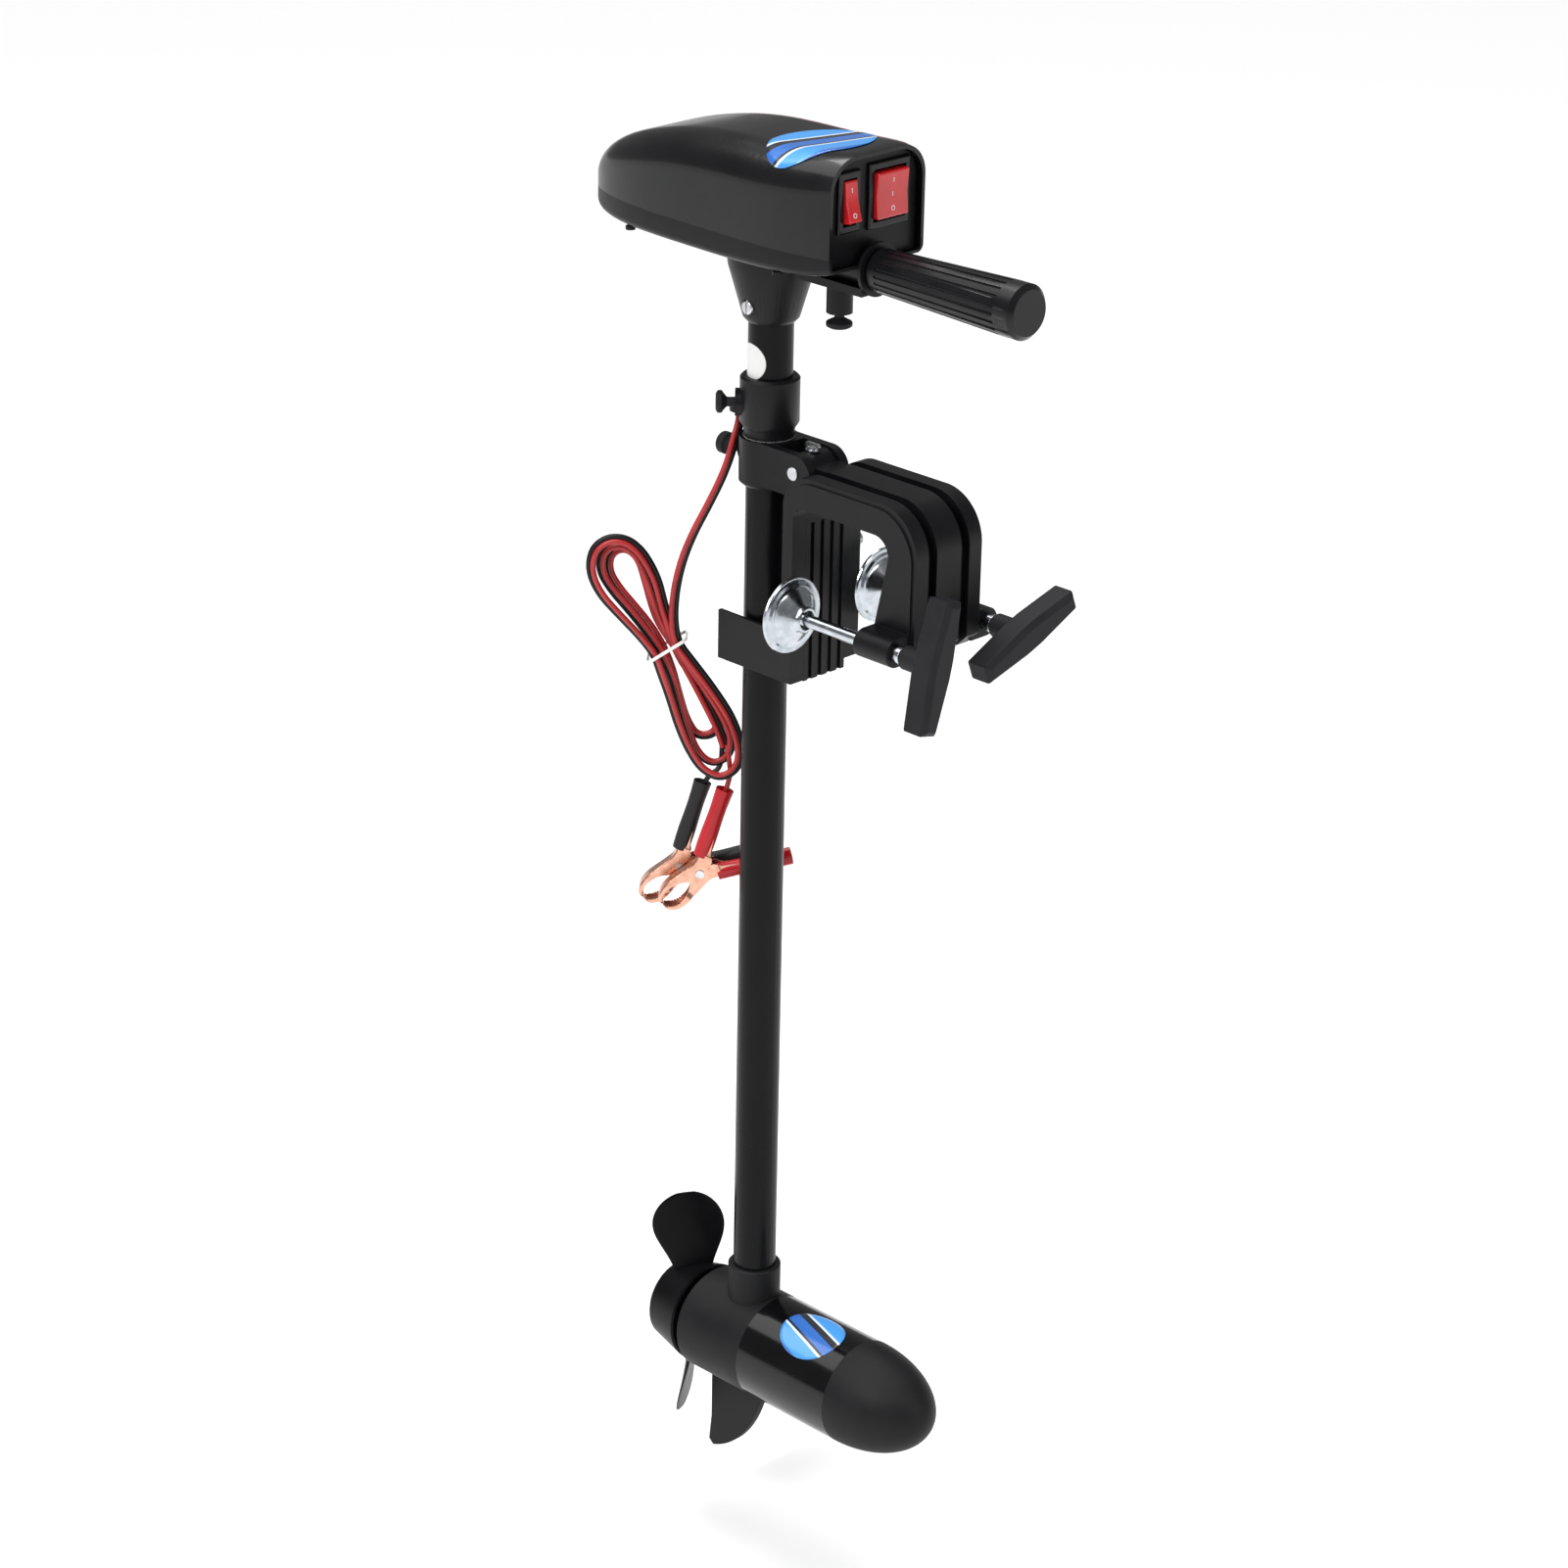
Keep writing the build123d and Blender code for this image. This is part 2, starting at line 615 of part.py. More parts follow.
def rocker(size, tip):
    y, w, h = size
    a2, b2 = w / 2 - 3.6 - 0.3, h / 2 - 4.4 - 1.6
    front = bezel_t + 3.4
    outline = [(-8, -5), (-1, -b2), (front, -b2), (front - 1.2, 0), (front, b2), (-1, b2), (-8, 5)]
    shape = side_outline(outline, [2, 0, 1.2, 0, 1.2, 0, 2], y - a2, y + a2)
    return Pos(shaft_x + panel_u, 0, switch_z) * Rot(0, tip, 0) * shape


def cable_gland():
    shape = turned([(base_floor - 9, cord_w / 2 + 0.1), (base_floor - 9, cord_w / 2 + 1.2),
                    (base_floor - 0.1, gland_r + 1.6), (base_floor - 0.1, gland_r),
                    (base_floor + 6, gland_r), (base_floor + 6, cord_w / 2 + 0.1)],
                   hang(0, 0, gland_q), (0, 0, 1), (1, 0, 0))
    return shape


# ---------------------------------------------------------------- tiller handle
def handle_bracket():
    length = socket_front - socket_rear
    socket = rod(socket_r, (shaft_x + socket_rear, 0, tiller_z), (1, 0, 0), length + 2.4)
    flange = rod(flange_r, (shaft_x + lip_u + 0.4, 0, tiller_z), (1, 0, 0), 2.4)
    socket += rod(socket_r, (shaft_x + socket_front, 0, tiller_z), (1, 0, 0), lip_u + 1 - socket_front)
    strap = block(shaft_x + 32, shaft_x + lip_u + 1, -13, 13, tiller_z - socket_r - 3, tiller_z - socket_r + 2)
    ears = block(shaft_x + ear_u - 8, shaft_x + ear_u + 8, -24, 24, base_floor - 3.2, base_floor - 0.2)
    boss = rod(8.0, (shaft_x + handle_screw_u, 0, handle_screw_low + 9.5), (0, 0, 1), 26)
    shape = socket + flange + strap + ears + boss
    shape -= rod(rod_r + run_gap, (shaft_x + socket_rear - 1, 0, tiller_z), (1, 0, 0), 80)
    shape -= rod(knob_stem_r + loose_gap, (shaft_x + handle_screw_u, 0, 100), (0, 0, 1), tiller_z - 100)
    for s in (-1, 1):
        shape -= rod(head_screw_r + loose_gap, (shaft_x + ear_u, s * ear_y, 130), (0, 0, 1), 20)
    return shape


def handle_rod():
    length = grip_front - 45 - rod_rear
    return pipe(rod_r, rod_r - 1.5, (shaft_x + rod_rear, 0, tiller_z), (1, 0, 0), length)


def handle_grip():
    z = (0, 0, 1)
    end = grip_front
    profile = [
        (grip_rear, rod_r + 0.02), (grip_rear, grip_rear_r - 1.5), (grip_rear + 1.5, grip_rear_r),
        (end - 14, grip_front_r), (end - 3, grip_front_r), (end, grip_front_r - 3), (end, 0),
        (end - 44.5, 0), (end - 44.5, rod_r + 0.02),
    ]
    shape = turned(profile, (shaft_x, 0, tiller_z), (1, 0, 0), z)
    start = Vector(grip_rear + 7, 0, 0)
    run = grip_front - 21 - grip_rear
    lean = degrees((grip_front_r - grip_rear_r) / (grip_front - grip_rear))
    cutter = Pos(shaft_x + start.X, 0, 0) * Rot(0, 90 - lean, 0) * Cylinder(
        0.9, run, align=(Align.CENTER, Align.CENTER, Align.MIN))
    radius = grip_rear_r + 0.25
    for i in range(flutes):
        angle = 360 / flutes * i
        shape -= Pos(0, 0, tiller_z) * Rot(angle, 0, 0) * Pos(0, 0, radius) * cutter
    return shape


def handle_thumb_screw():
    reach = tiller_z - handle_screw_low
    screw = thumb_screw(reach, rod_r + 0.4, 8.0, knob_stem_r, 4.4, neck=2.0)
    return Pos(shaft_x + handle_screw_u, 0, tiller_z) * Rot(0, 90, 0) * screw


# ---------------------------------------------------------------- motor pod
pod_at = (shaft_x, 0, pod_z)


def skeg():
    """Fin under the rear cap: straight trailing edge, curved leading edge, thinner at the tip."""
    top = -pod_r + 8
    outline = make_face(
        Polyline((-36, top), (-36, -76), (-38, -95), (-34, -skeg_depth))
        + Spline((-34, -skeg_depth), (-16, -88), (4, -62), (15, top))
        + Line((15, top), (-36, top)))
    plane = Plane(origin=(shaft_x, skeg_t / 2, pod_z), x_dir=(1, 0, 0), z_dir=(0, -1, 0))
    return extrude(plane * outline, skeg_t)


def rear_cap():
    r_in = pod_r - pod_wall
    wall = 5.5
    profile = [
        (cap_rear, motor_shaft_r + 1.2), (cap_rear, pod_r - 2.4), (cap_rear + 2.4, pod_r),
        (cap_front, pod_r), (cap_front, r_in - 0.02), (cap_front + spigot, r_in - 0.02),
        (cap_front + spigot, r_in - 3.5), (cap_front - 4, r_in - 3.5), (cap_front - 6, r_in - 2),
        (cap_rear + wall, r_in - 2), (cap_rear + wall, bearing_r + 3), (bearing_rear + 8, bearing_r + 3),
        (bearing_rear + 8, bearing_r + 0.02), (bearing_rear, bearing_r + 0.02),
        (bearing_rear, seal_r + 0.02), (cap_rear + 1, seal_r + 0.02), (cap_rear + 1, motor_shaft_r + 1.2),
    ]
    shape = turned(profile, pod_at, (1, 0, 0), (0, 0, 1))
    socket = rod(neck_socket_r, (shaft_x, 0, pod_z + 26), (0, 0, 1), socket_top - pod_z - 26)
    socket = chamfer(socket.edges().sort_by(Axis.Z)[-1], 1.0)
    hollow = rod(r_in - 2, (shaft_x + cap_rear + wall, 0, pod_z), (1, 0, 0), 60)
    shape += socket - hollow
    shape -= rod(tube_r + 0.1, (shaft_x, 0, tube_low), (0, 0, 1), 80)
    shape -= rod(tube_in - 2, (shaft_x, 0, pod_z), (0, 0, 1), 60)
    fin = skeg() - rod(pod_r - 3, (shaft_x - 60, 0, pod_z), (1, 0, 0), 120)
    shape += fin & block(shaft_x + cap_rear, shaft_x + cap_front, -20, 20, pod_z - 120, pod_z)
    for s in (-1, 1):
        start = (shaft_x + cap_rear - 1, s * bolt_ring, pod_z)
        shape -= rod(through_r + loose_gap, start, (1, 0, 0), 100) + rod(3.5, start, (1, 0, 0), 4.2)
    shape -= pipe(r_in + 1, r_in - 1.1, (shaft_x + cap_front + 1, 0, pod_z), (1, 0, 0), 2)
    return shape


bearing_rear = cap_rear + 7.0
bolt_ring, through_r = 28.6, 1.8
nose_bearing = tube_front + 2.0


def motor_tube():
    start = (shaft_x + cap_front, 0, pod_z)
    return pipe(pod_r, pod_r - pod_wall, start, (1, 0, 0), tube_front - cap_front)


def nose_cone():
    r_in = pod_r - pod_wall
    dome = make_face(
        Line((tube_front, 0), (tube_front, pod_r))
        + EllipticalCenterArc((tube_front, 0), nose_len, pod_r, start_angle=0, arc_size=90)
        + Line((tube_front + nose_len, 0), (tube_front, 0)))
    hollow = make_face(
        Line((tube_front - 1, 0), (tube_front - 1, r_in - 3.5))
        + Line((tube_front - 1, r_in - 3.5), (tube_front, r_in - 3.5))
        + EllipticalCenterArc((tube_front, 0), nose_len - 4, r_in - 3.5, start_angle=0, arc_size=90)
        + Line((tube_front + nose_len - 4, 0), (tube_front - 1, 0)))
    plane = Plane(origin=pod_at, x_dir=(1, 0, 0), z_dir=(0, -1, 0))
    axis = Axis(pod_at, (1, 0, 0))
    shape = revolve(plane * dome, axis, 360)
    shape -= revolve(plane * hollow, axis, 360)
    spig = pipe(r_in - 0.02, r_in - 3.5, (shaft_x + tube_front - spigot, 0, pod_z), (1, 0, 0), spigot + 2)
    shape += spig
    holder = pipe(bearing_r + 3, bearing_r + 0.02, (shaft_x + nose_bearing, 0, pod_z), (1, 0, 0), 8)
    plate = pipe(r_in - 3, bearing_r + 0.5, (shaft_x + nose_bearing + 5, 0, pod_z), (1, 0, 0), 3)
    shape += holder + plate
    for s in (-1, 1):
        boss = rod(through_r + 2.2, (shaft_x + nose_bearing + 4, s * bolt_ring, pod_z), (1, 0, 0), 12)
        shape += boss & rod(r_in - 3, (shaft_x + tube_front, 0, pod_z), (1, 0, 0), 40)
        start = (shaft_x + tube_front - 8, s * bolt_ring, pod_z)
        shape -= rod(through_r + 0.05, start, (1, 0, 0), 22)
    shape -= pipe(r_in + 1, r_in - 1.1, (shaft_x + tube_front - 3, 0, pod_z), (1, 0, 0), 2)
    return shape


def pod_seals():
    r = pod_r - pod_wall
    rings = [pipe(r - 0.03, r - 1.08, (shaft_x + u, 0, pod_z), (1, 0, 0), 1.9)
             for u in (cap_front + 1.05, tube_front - 2.95)]
    lip = pipe(seal_r, motor_shaft_r + run_gap, (shaft_x + cap_rear + 1.2, 0, pod_z), (1, 0, 0),
               bearing_rear - cap_rear - 1.4)
    return Compound(children=rings + [lip])


def through_bolts():
    made = []
    for s in (-1, 1):
        start = (shaft_x + cap_rear + 0.4, s * bolt_ring, pod_z)
        shank = rod(through_r, start, (1, 0, 0), nose_bearing + 9 - cap_rear)
        made.append(shank + rod(3.2, start, (1, 0, 0), 2.6))
    return Compound(children=made)


def magnets():
    r = pod_r - pod_wall - 0.05
    ring = pipe(r, r - magnet_t, (shaft_x + 30, 0, pod_z), (1, 0, 0), 52)
    keep = block(shaft_x, shaft_x + 100, 0, 60, pod_z - 18, pod_z + 18)
    pair = [(ring & keep).solids()[0], (ring & mirror(keep, Plane.XZ)).solids()[0]]
    return Compound(children=[quarter_turn(m) for m in pair])


def quarter_turn(shape):
    return Pos(0, 0, pod_z) * Rot(90, 0, 0) * Pos(0, 0, -pod_z) * shape


def bearings():
    made = []
    for u in (bearing_rear, nose_bearing):
        made.append(pipe(bearing_r, motor_shaft_r + run_gap, (shaft_x + u, 0, pod_z), (1, 0, 0), 7))
    return Compound(children=made)


comm_u, comm_len = 86.0, 10.0


def brush_plate():
    ring = pipe(pod_r - pod_wall - 4, commutator_r + 2.5, (shaft_x + comm_u + 1, 0, pod_z), (1, 0, 0), 2.5)
    for s in (-1, 1):
        y0, y1 = sorted((s * (commutator_r + 2.0), s * 27))
        holder = block(shaft_x + comm_u + 1, shaft_x + comm_u + 9, y0, y1, pod_z - 5, pod_z + 5)
        y2, y3 = sorted((s * (commutator_r + 1.0), s * 26))
        ring += holder
        ring -= block(shaft_x + comm_u + 2.4, shaft_x + comm_u + 7.6, y2, y3, pod_z - 3.6, pod_z + 3.6)
        ring -= rod(through_r + 1, (shaft_x + comm_u, 0, pod_z + s * bolt_ring), (1, 0, 0), 10)
    return quarter_turn(ring)


def brushes():
    made = []
    for s in (-1, 1):
        y0, y1 = sorted((s * (commutator_r - 0.5), s * 22))
        carbon = block(shaft_x + comm_u + 2.6, shaft_x + comm_u + 7.4, y0, y1, pod_z - 3.4, pod_z + 3.4)
        carbon -= rod(commutator_r + run_gap, (shaft_x + comm_u, 0, pod_z), (1, 0, 0), 12)
        made.append(quarter_turn(carbon))
    return Compound(children=made)


def armature():
    core = rod(armature_r, (shaft_x + 32, 0, pod_z), (1, 0, 0), 44)
    for i in range(12):
        slot = block(shaft_x + 31, shaft_x + 77, -1.3, 1.3, armature_r - 5, armature_r + 2)
        core -= Pos(0, 0, pod_z) * Rot(i * 30, 0, 0) * slot
    ends = rod(armature_r - 5.5, (shaft_x + 26, 0, pod_z), (1, 0, 0), 56)
    shape = core + ends
    return shape - rod(motor_shaft_r, (shaft_x, 0, pod_z), (1, 0, 0), 120)


def commutator():
    shape = pipe(commutator_r, motor_shaft_r, (shaft_x + comm_u - 1, 0, pod_z), (1, 0, 0), comm_len)
    for i in range(12):
        cut = block(shaft_x + comm_u - 2, shaft_x + comm_u + comm_len, -0.25, 0.25, commutator_r - 0.8,
                    commutator_r + 1)
        shape -= Pos(0, 0, pod_z) * Rot(i * 30, 0, 0) * cut
    return shape


def motor_shaft():
    end = prop_rear - 6
    shape = rod(motor_shaft_r, (shaft_x + end, 0, pod_z), (1, 0, 0), nose_bearing + 8 - end)
    return shape - rod(shear_pin_r, (shaft_x + pin_u, -20, pod_z), (0, 1, 0), 40)


pin_u = -60.0


def shear_pin():
    return rod(shear_pin_r - 0.02, (shaft_x + pin_u, -11, pod_z), (0, 1, 0), 22)


def blade():
    """One blade standing up from the hub: chord, thickness, pitch and rake change with radius."""
    root, widest, tip = 22.0, 0.62 * blade_reach + 9, blade_reach + 0.5
    faces = []
    for share in (0, 0.14, 0.28, 0.42, 0.55, 0.66, 0.76, 0.84, 0.90, 0.95, 0.985):
        r = root + share * (tip - root)
        if r < widest:
            rise = (r - root) / (widest - root)
            half = blade_half * (0.5 + 0.5 * rise * rise * (3 - 2 * rise))
        else:
            half = blade_half * (1 - ((r - widest) / (tip - widest)) ** 2) ** 0.5
        a = radians(44 - 16 * share)
        u = -57.5 - 9 * share
        plane = Plane(origin=(shaft_x + u, 0, pod_z + r), x_dir=(sin(a), cos(a), 0), z_dir=(0, 0, 1))
        faces.append(plane * Ellipse(half, 2.9 - 2.0 * share))
    return loft(faces)


def propeller():
    hub = turned(
        [(prop_front, 0), (prop_front, hub_front_r - 1.2), (prop_front - 1.2, hub_front_r),
         (prop_rear + 3, hub_rear_r), (prop_rear, hub_rear_r - 3), (prop_rear, 0)],
        pod_at, (1, 0, 0), (0, 0, 1))
    shape = hub
    for turn in (0, 180):
        shape += Pos(0, 0, pod_z) * Rot(turn, 0, 0) * Pos(0, 0, -pod_z) * blade()
    shape -= rod(motor_shaft_r + 0.02, (shaft_x - 120, 0, pod_z), (1, 0, 0), 90)
    shape -= rod(hub_rear_r - 7, (shaft_x + prop_rear - 1, 0, pod_z), (1, 0, 0), 8)
    shape -= rod(12.0, (shaft_x + prop_front - 3, 0, pod_z), (1, 0, 0), 5)
    shape -= rod(shear_pin_r, (shaft_x + pin_u, -11.5, pod_z), (0, 1, 0), 23)
    return shape


def prop_nut():
    nut = Plane(origin=(shaft_x + prop_rear + 1.4, 0, pod_z), x_dir=(0, 1, 0), z_dir=(1, 0, 0))
    shape = extrude(nut * RegularPolygon(8.5, 6), 5.4)
    return shape - rod(motor_shaft_r, (shaft_x - 120, 0, pod_z), (1, 0, 0), 60)


# ---------------------------------------------------------------- cable, hank and clips
head_cable_route = [(0, 150, gland_q), (0, 134, gland_q), (-0.5, 118, -34.5), (-1.5, 101, -28.8),
                    (-3.5, 84, -24.6), (-7, 70, -22.6), (-11.6, 59, -19.9), (-15.6, 50, -16.8),
                    (-17.3, 37, -15)]
cable_route = [(-17.3, 35.8, -15), (-18.2, 29.5, -13), (-20.8, 21, -9.4), (-23.8, 9, -7.4), (-29, -6, -8.4),
               (-37, -24, -10), (-46, -43, -13), (-53, -63, -17), (-57.2, -84, -21), (-58.2, -104, -24)]
lead_routes = {"black": [(-27, -204, -27), (-29.5, -210, -29.5), (-34.5, -215.5, -35), (-38.2, -221, -38)],
               "red": [(-20.5, -204, -24), (-21, -210.5, -24.3), (-22.6, -216, -24.9), (-24, -221.5, -25)]}


def cord_tube(route, r):
    pts = [Vector(*hang(s, h, q)) for s, h, q in route]
    radii = []
    for a, b, c in zip(pts, pts[1:], pts[2:]):
        turn = radians((b - a).get_angle(c - b))
        radii.append(0.45 * min((b - a).length, (c - b).length) / tan(turn / 2))
    path = FilletPolyline(*pts, radius=radii)
    plane = Plane(origin=pts[0], z_dir=pts[1] - pts[0])
    shape = sweep(plane * Circle(r), path=path)
    print("   radii", " ".join(f"{x:.0f}" for x in radii), f"length {path.length:.1f}",
          f"volume ratio {shape.volume / (pi * r * r * path.length):.3f}")
    return shape


hank_outline = [(-92, -49), (-106, -53), (-114, -66), (-110, -85), (-96, -101), (-72, -130), (-66, -150),
                (-57, -178), (-46, -198), (-31, -209), (-18, -210), (-13.5, -198), (-16, -177), (-33, -149),
                (-50, -124), (-58, -102), (-64, -80), (-69, -64), (-79, -52)]


def cable_hank():
    plane = Plane(origin=hang(0, 0, -hank_back - hank_t / 2), x_dir=hang_direction(1, 0),
                  z_dir=hang_direction(0, 0, 1))
    face = plane * make_face(Polyline(*hank_outline, close=True))
    return extrude(face, hank_t)


def cable_tie():
    a, b = Vector(*hang(-72.5, -129, -hank_back)), Vector(*hang(-52.5, -115.5, -hank_back))
    along, out = (b - a).normalized(), Vector(*hang_direction(0, 0, 1))
    plane = Plane(origin=(a + b) * 0.5, x_dir=along, z_dir=along.cross(out))
    width, depth = (b - a).length + 4.5, hank_t + 1.0
    band = plane * (RectangleRounded(width + 1.6, depth + 1.6, 4) - RectangleRounded(width, depth, 3.4))
    shape = extrude(band, 2.0)
    return shape


clips = {
    "black": {"at": (-53.1, -278.5, -38.0), "lean": 44.7},
    "red": {"at": (-39.6, -277.8, -25.0), "lean": 43.6},
}
spread = 29.0         # each handle's angle from the clip's centre line


def clip_place(name):
    """Clip frame: +X along the handles' centre line, +Y the upper half's side, Z the pivot."""
    c = clips[name]
    a = radians(c["lean"])
    x, y = Vector(*hang_direction(cos(a), sin(a))), Vector(*hang_direction(-sin(a), cos(a)))
    return Plane(origin=hang(*c["at"]), x_dir=x, z_dir=x.cross(y))


def clip_half(side, ear, upper):
    """Stamped half of a battery clip: toothed jaw, ears round the rivet and a handle."""
    s = radians(spread)
    hx, hy = clip_handle * cos(s), clip_handle * sin(s)
    outer = [(-clip_jaw, 0.6), (-clip_jaw + 2, 5.5), (-clip_jaw + 10, 9.6), (-12, 8.6), (2, 6.6), (hx, hy + 2.6)]
    inner = [(hx + 0.8, hy + 1.2), (3, 4.9), (-12, 7.0), (-clip_jaw + 10, 7.9), (-clip_jaw + 3.4, 4.2),
             (-clip_jaw + 1.6, 0.6)]
    band = extrude(make_face(Polyline(*outer, *inner, close=True)), clip_w / 2, both=True)
    cheek_outline = [(-clip_jaw + 9, 8.6), (-11, 5.0), (-5, -3.4), (4.5, -3.4), (12, 9.6), (2, 6.0), (-12, 8.0)]
    cheek = extrude(make_face(Polyline(*cheek_outline, close=True)), 0.9)
    for z in (ear, -ear - 0.9):
        band += Pos(0, 0, z) * cheek
    band -= Cylinder(1.7, 30)
    return band if upper else mirror(band, Plane.XZ)


def clip_sleeve(upper):
    s = radians(spread)
    start = 11.0
    plane = Plane(origin=(start * cos(s), start * sin(s) + 2.2, 0), x_dir=(0, 0, 1),
                  z_dir=(cos(s), sin(s), 0))
    shape = extrude(plane * Ellipse(sleeve_clip_r + 0.9, sleeve_clip_r - 0.9), clip_handle - start + 2)
    return shape if upper else mirror(shape, Plane.XZ)


def clip_parts(name):
    place = clip_place(name)
    made = {}
    for upper, part in ((True, "clip"), (False, "jaw")):
        half = clip_half(1, clip_w / 2 - 0.9 if upper else clip_w / 2 - 2.0, upper)
        sleeve = clip_sleeve(upper) - half
        sleeve = sleeve.solids().sort_by(SortBy.VOLUME)[-1]
        made[f"{name}_{part}_half"] = place * half
        made[f"{name}_{part}_sleeve"] = place * sleeve
    made["rivet"] = place * (Cylinder(1.6, clip_w + 1.2) + Pos(0, 0, clip_w / 2 + 0.5) * Cylinder(2.8, 0.8)
                             + Pos(0, 0, -clip_w / 2 - 0.5) * Cylinder(2.8, 0.8))
    return made


# ---------------------------------------------------------------- build and write
outer, inner = head_loft(0), head_loft(head_wall, front=lip_u + 2, rear_in=head_wall)
roomy = head_loft(head_wall + 0.3, front=lip_u + 2, rear_in=head_wall + 0.3)
nodes = {
    "clamp_frame": clamp_frame(), "left_clamp_side": clamp_side(1), "right_clamp_side": clamp_side(-1),
    "clamp_bolts": Compound(children=clamp_bolts() + rest_screws()), "shaft_rest": shaft_rest(),
    "screw_inserts": screw_inserts(), "tilt_pin": tilt_pin(), "tilt_tension_screw": tilt_tension_screw(),
    "pivot_sleeve": pivot_sleeve(), "sleeve_bush": sleeve_bush(), "steering_knob": steering_knob(),
    "depth_collar": depth_collar(), "collar_thumb_screw": collar_thumb_screw(),
    "shaft_tube": shaft_tube(), "motor_leads": motor_leads(), "neck": neck(),
    "neck_bolt": Compound(children=[neck_bolt(), neck_nut()]),
    "cowl_cover": cowl_cover(outer, inner, cowl_posts(inner, roomy)), "cowl_base": cowl_base(outer, inner),
    "head_screws": head_screws(), "switch_panel": switch_panel(),
    "direction_switch": switch_case(narrow), "direction_rocker": rocker(narrow, -rocker_rest),
    "speed_switch": switch_case(wide), "speed_rocker": rocker(wide, 0),
    "cable_gland": cable_gland(), "handle_bracket": handle_bracket(), "handle_rod": handle_rod(),
    "handle_grip": handle_grip(), "handle_thumb_screw": handle_thumb_screw(),
    "rear_cap": rear_cap(), "motor_tube": motor_tube(), "nose_cone": nose_cone(),
    "pod_seals": pod_seals(), "through_bolts": through_bolts(), "magnets": magnets(),
    "bearings": bearings(), "brush_plate": brush_plate(), "brushes": brushes(),
    "armature": Compound(children=[armature(), commutator()]), "motor_shaft": motor_shaft(),
    "shear_pin": shear_pin(), "propeller": propeller(), "prop_nut": prop_nut(),
    "head_cable": cord_tube(head_cable_route, cord_w / 2),
    "power_cable": cord_tube(cable_route, cord_w / 2) - cable_hank(),
    "cable_hank": cable_hank(), "cable_tie": cable_tie(),
}
for side, sign in (("left", 1), ("right", -1)):
    nodes[f"{side}_cup"] = cup(sign)
    nodes[f"{side}_clamp_screw"] = clamp_screw(sign)
    nodes[f"{side}_t_handle"] = t_handle(sign, t_lean[side])
leads = [cord_tube(lead_routes[n], lead_r) - nodes["cable_hank"] for n in ("black", "red")]
rivets = []
for name in ("black", "red"):
    made = clip_parts(name)
    rivets.append(made.pop("rivet"))
    nodes[f"{name}_clip"] = Compound(children=[made[f"{name}_clip_half"], made[f"{name}_clip_sleeve"]])
    nodes[f"{name}_clip_jaw"] = Compound(children=[made[f"{name}_jaw_half"], made[f"{name}_jaw_sleeve"]])
nodes["clip_leads"] = Compound(children=[
    lead - nodes[f"{n}_clip"].solids()[0] - nodes[f"{n}_clip"].solids()[1]
    for lead, n in zip(leads, ("black", "red"))])
nodes["clip_rivets"] = Compound(children=rivets)

for name, shape in nodes.items():
    save(name, shape)
print(len(nodes), "nodes")
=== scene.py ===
import json
from math import cos, sin, pi, radians
import bmesh
import bpy
from mathutils import Matrix, Vector
from mathutils.bvhtree import BVHTree

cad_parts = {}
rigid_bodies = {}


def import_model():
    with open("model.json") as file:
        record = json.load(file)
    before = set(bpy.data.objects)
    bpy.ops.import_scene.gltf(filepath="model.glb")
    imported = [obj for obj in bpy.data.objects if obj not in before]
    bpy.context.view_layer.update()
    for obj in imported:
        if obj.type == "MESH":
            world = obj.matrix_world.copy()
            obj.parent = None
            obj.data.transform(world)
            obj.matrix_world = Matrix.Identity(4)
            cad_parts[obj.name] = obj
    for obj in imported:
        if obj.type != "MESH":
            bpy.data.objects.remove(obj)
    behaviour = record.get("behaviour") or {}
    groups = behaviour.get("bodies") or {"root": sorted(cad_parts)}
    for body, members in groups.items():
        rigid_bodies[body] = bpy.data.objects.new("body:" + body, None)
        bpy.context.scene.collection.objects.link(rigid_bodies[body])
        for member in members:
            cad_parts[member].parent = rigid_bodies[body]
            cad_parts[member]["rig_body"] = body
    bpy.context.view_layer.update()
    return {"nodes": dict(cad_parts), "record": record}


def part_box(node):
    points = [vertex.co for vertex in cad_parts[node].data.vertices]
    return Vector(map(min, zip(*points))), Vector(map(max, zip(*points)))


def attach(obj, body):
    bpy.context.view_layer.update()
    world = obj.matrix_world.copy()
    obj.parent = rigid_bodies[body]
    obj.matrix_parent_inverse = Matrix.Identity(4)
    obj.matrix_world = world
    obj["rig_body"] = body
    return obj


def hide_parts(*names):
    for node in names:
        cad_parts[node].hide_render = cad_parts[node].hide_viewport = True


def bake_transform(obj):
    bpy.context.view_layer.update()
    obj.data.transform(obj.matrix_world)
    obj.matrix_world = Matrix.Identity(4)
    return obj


# Transom-mount electric trolling motor, in metres. The origin is on the clamp's seat, +Z runs up
# the shaft tube, +X points forward to the grip and +Y is port.
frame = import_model()
nodes = frame["nodes"]

MM = 0.001
SHAFT = Vector((-0.076, 0.0, 0.0))
SEAT_BACK = -0.025
PIN = Vector((-0.0385, 0.0, 0.0145))
POD_Z = -0.60475
HANK_TURN = radians(44.5)
ACROSS = Vector((cos(HANK_TURN), sin(HANK_TURN), 0))
TOWARDS = Vector((sin(HANK_TURN), -cos(HANK_TURN), 0))
UP = Vector((0, 0, 1))


def hang(s, h, q):
    """Point of the hanging cable: s across, h up and q out of the plane the hank hangs in."""
    return SHAFT + ACROSS * s + TOWARDS * q + UP * h


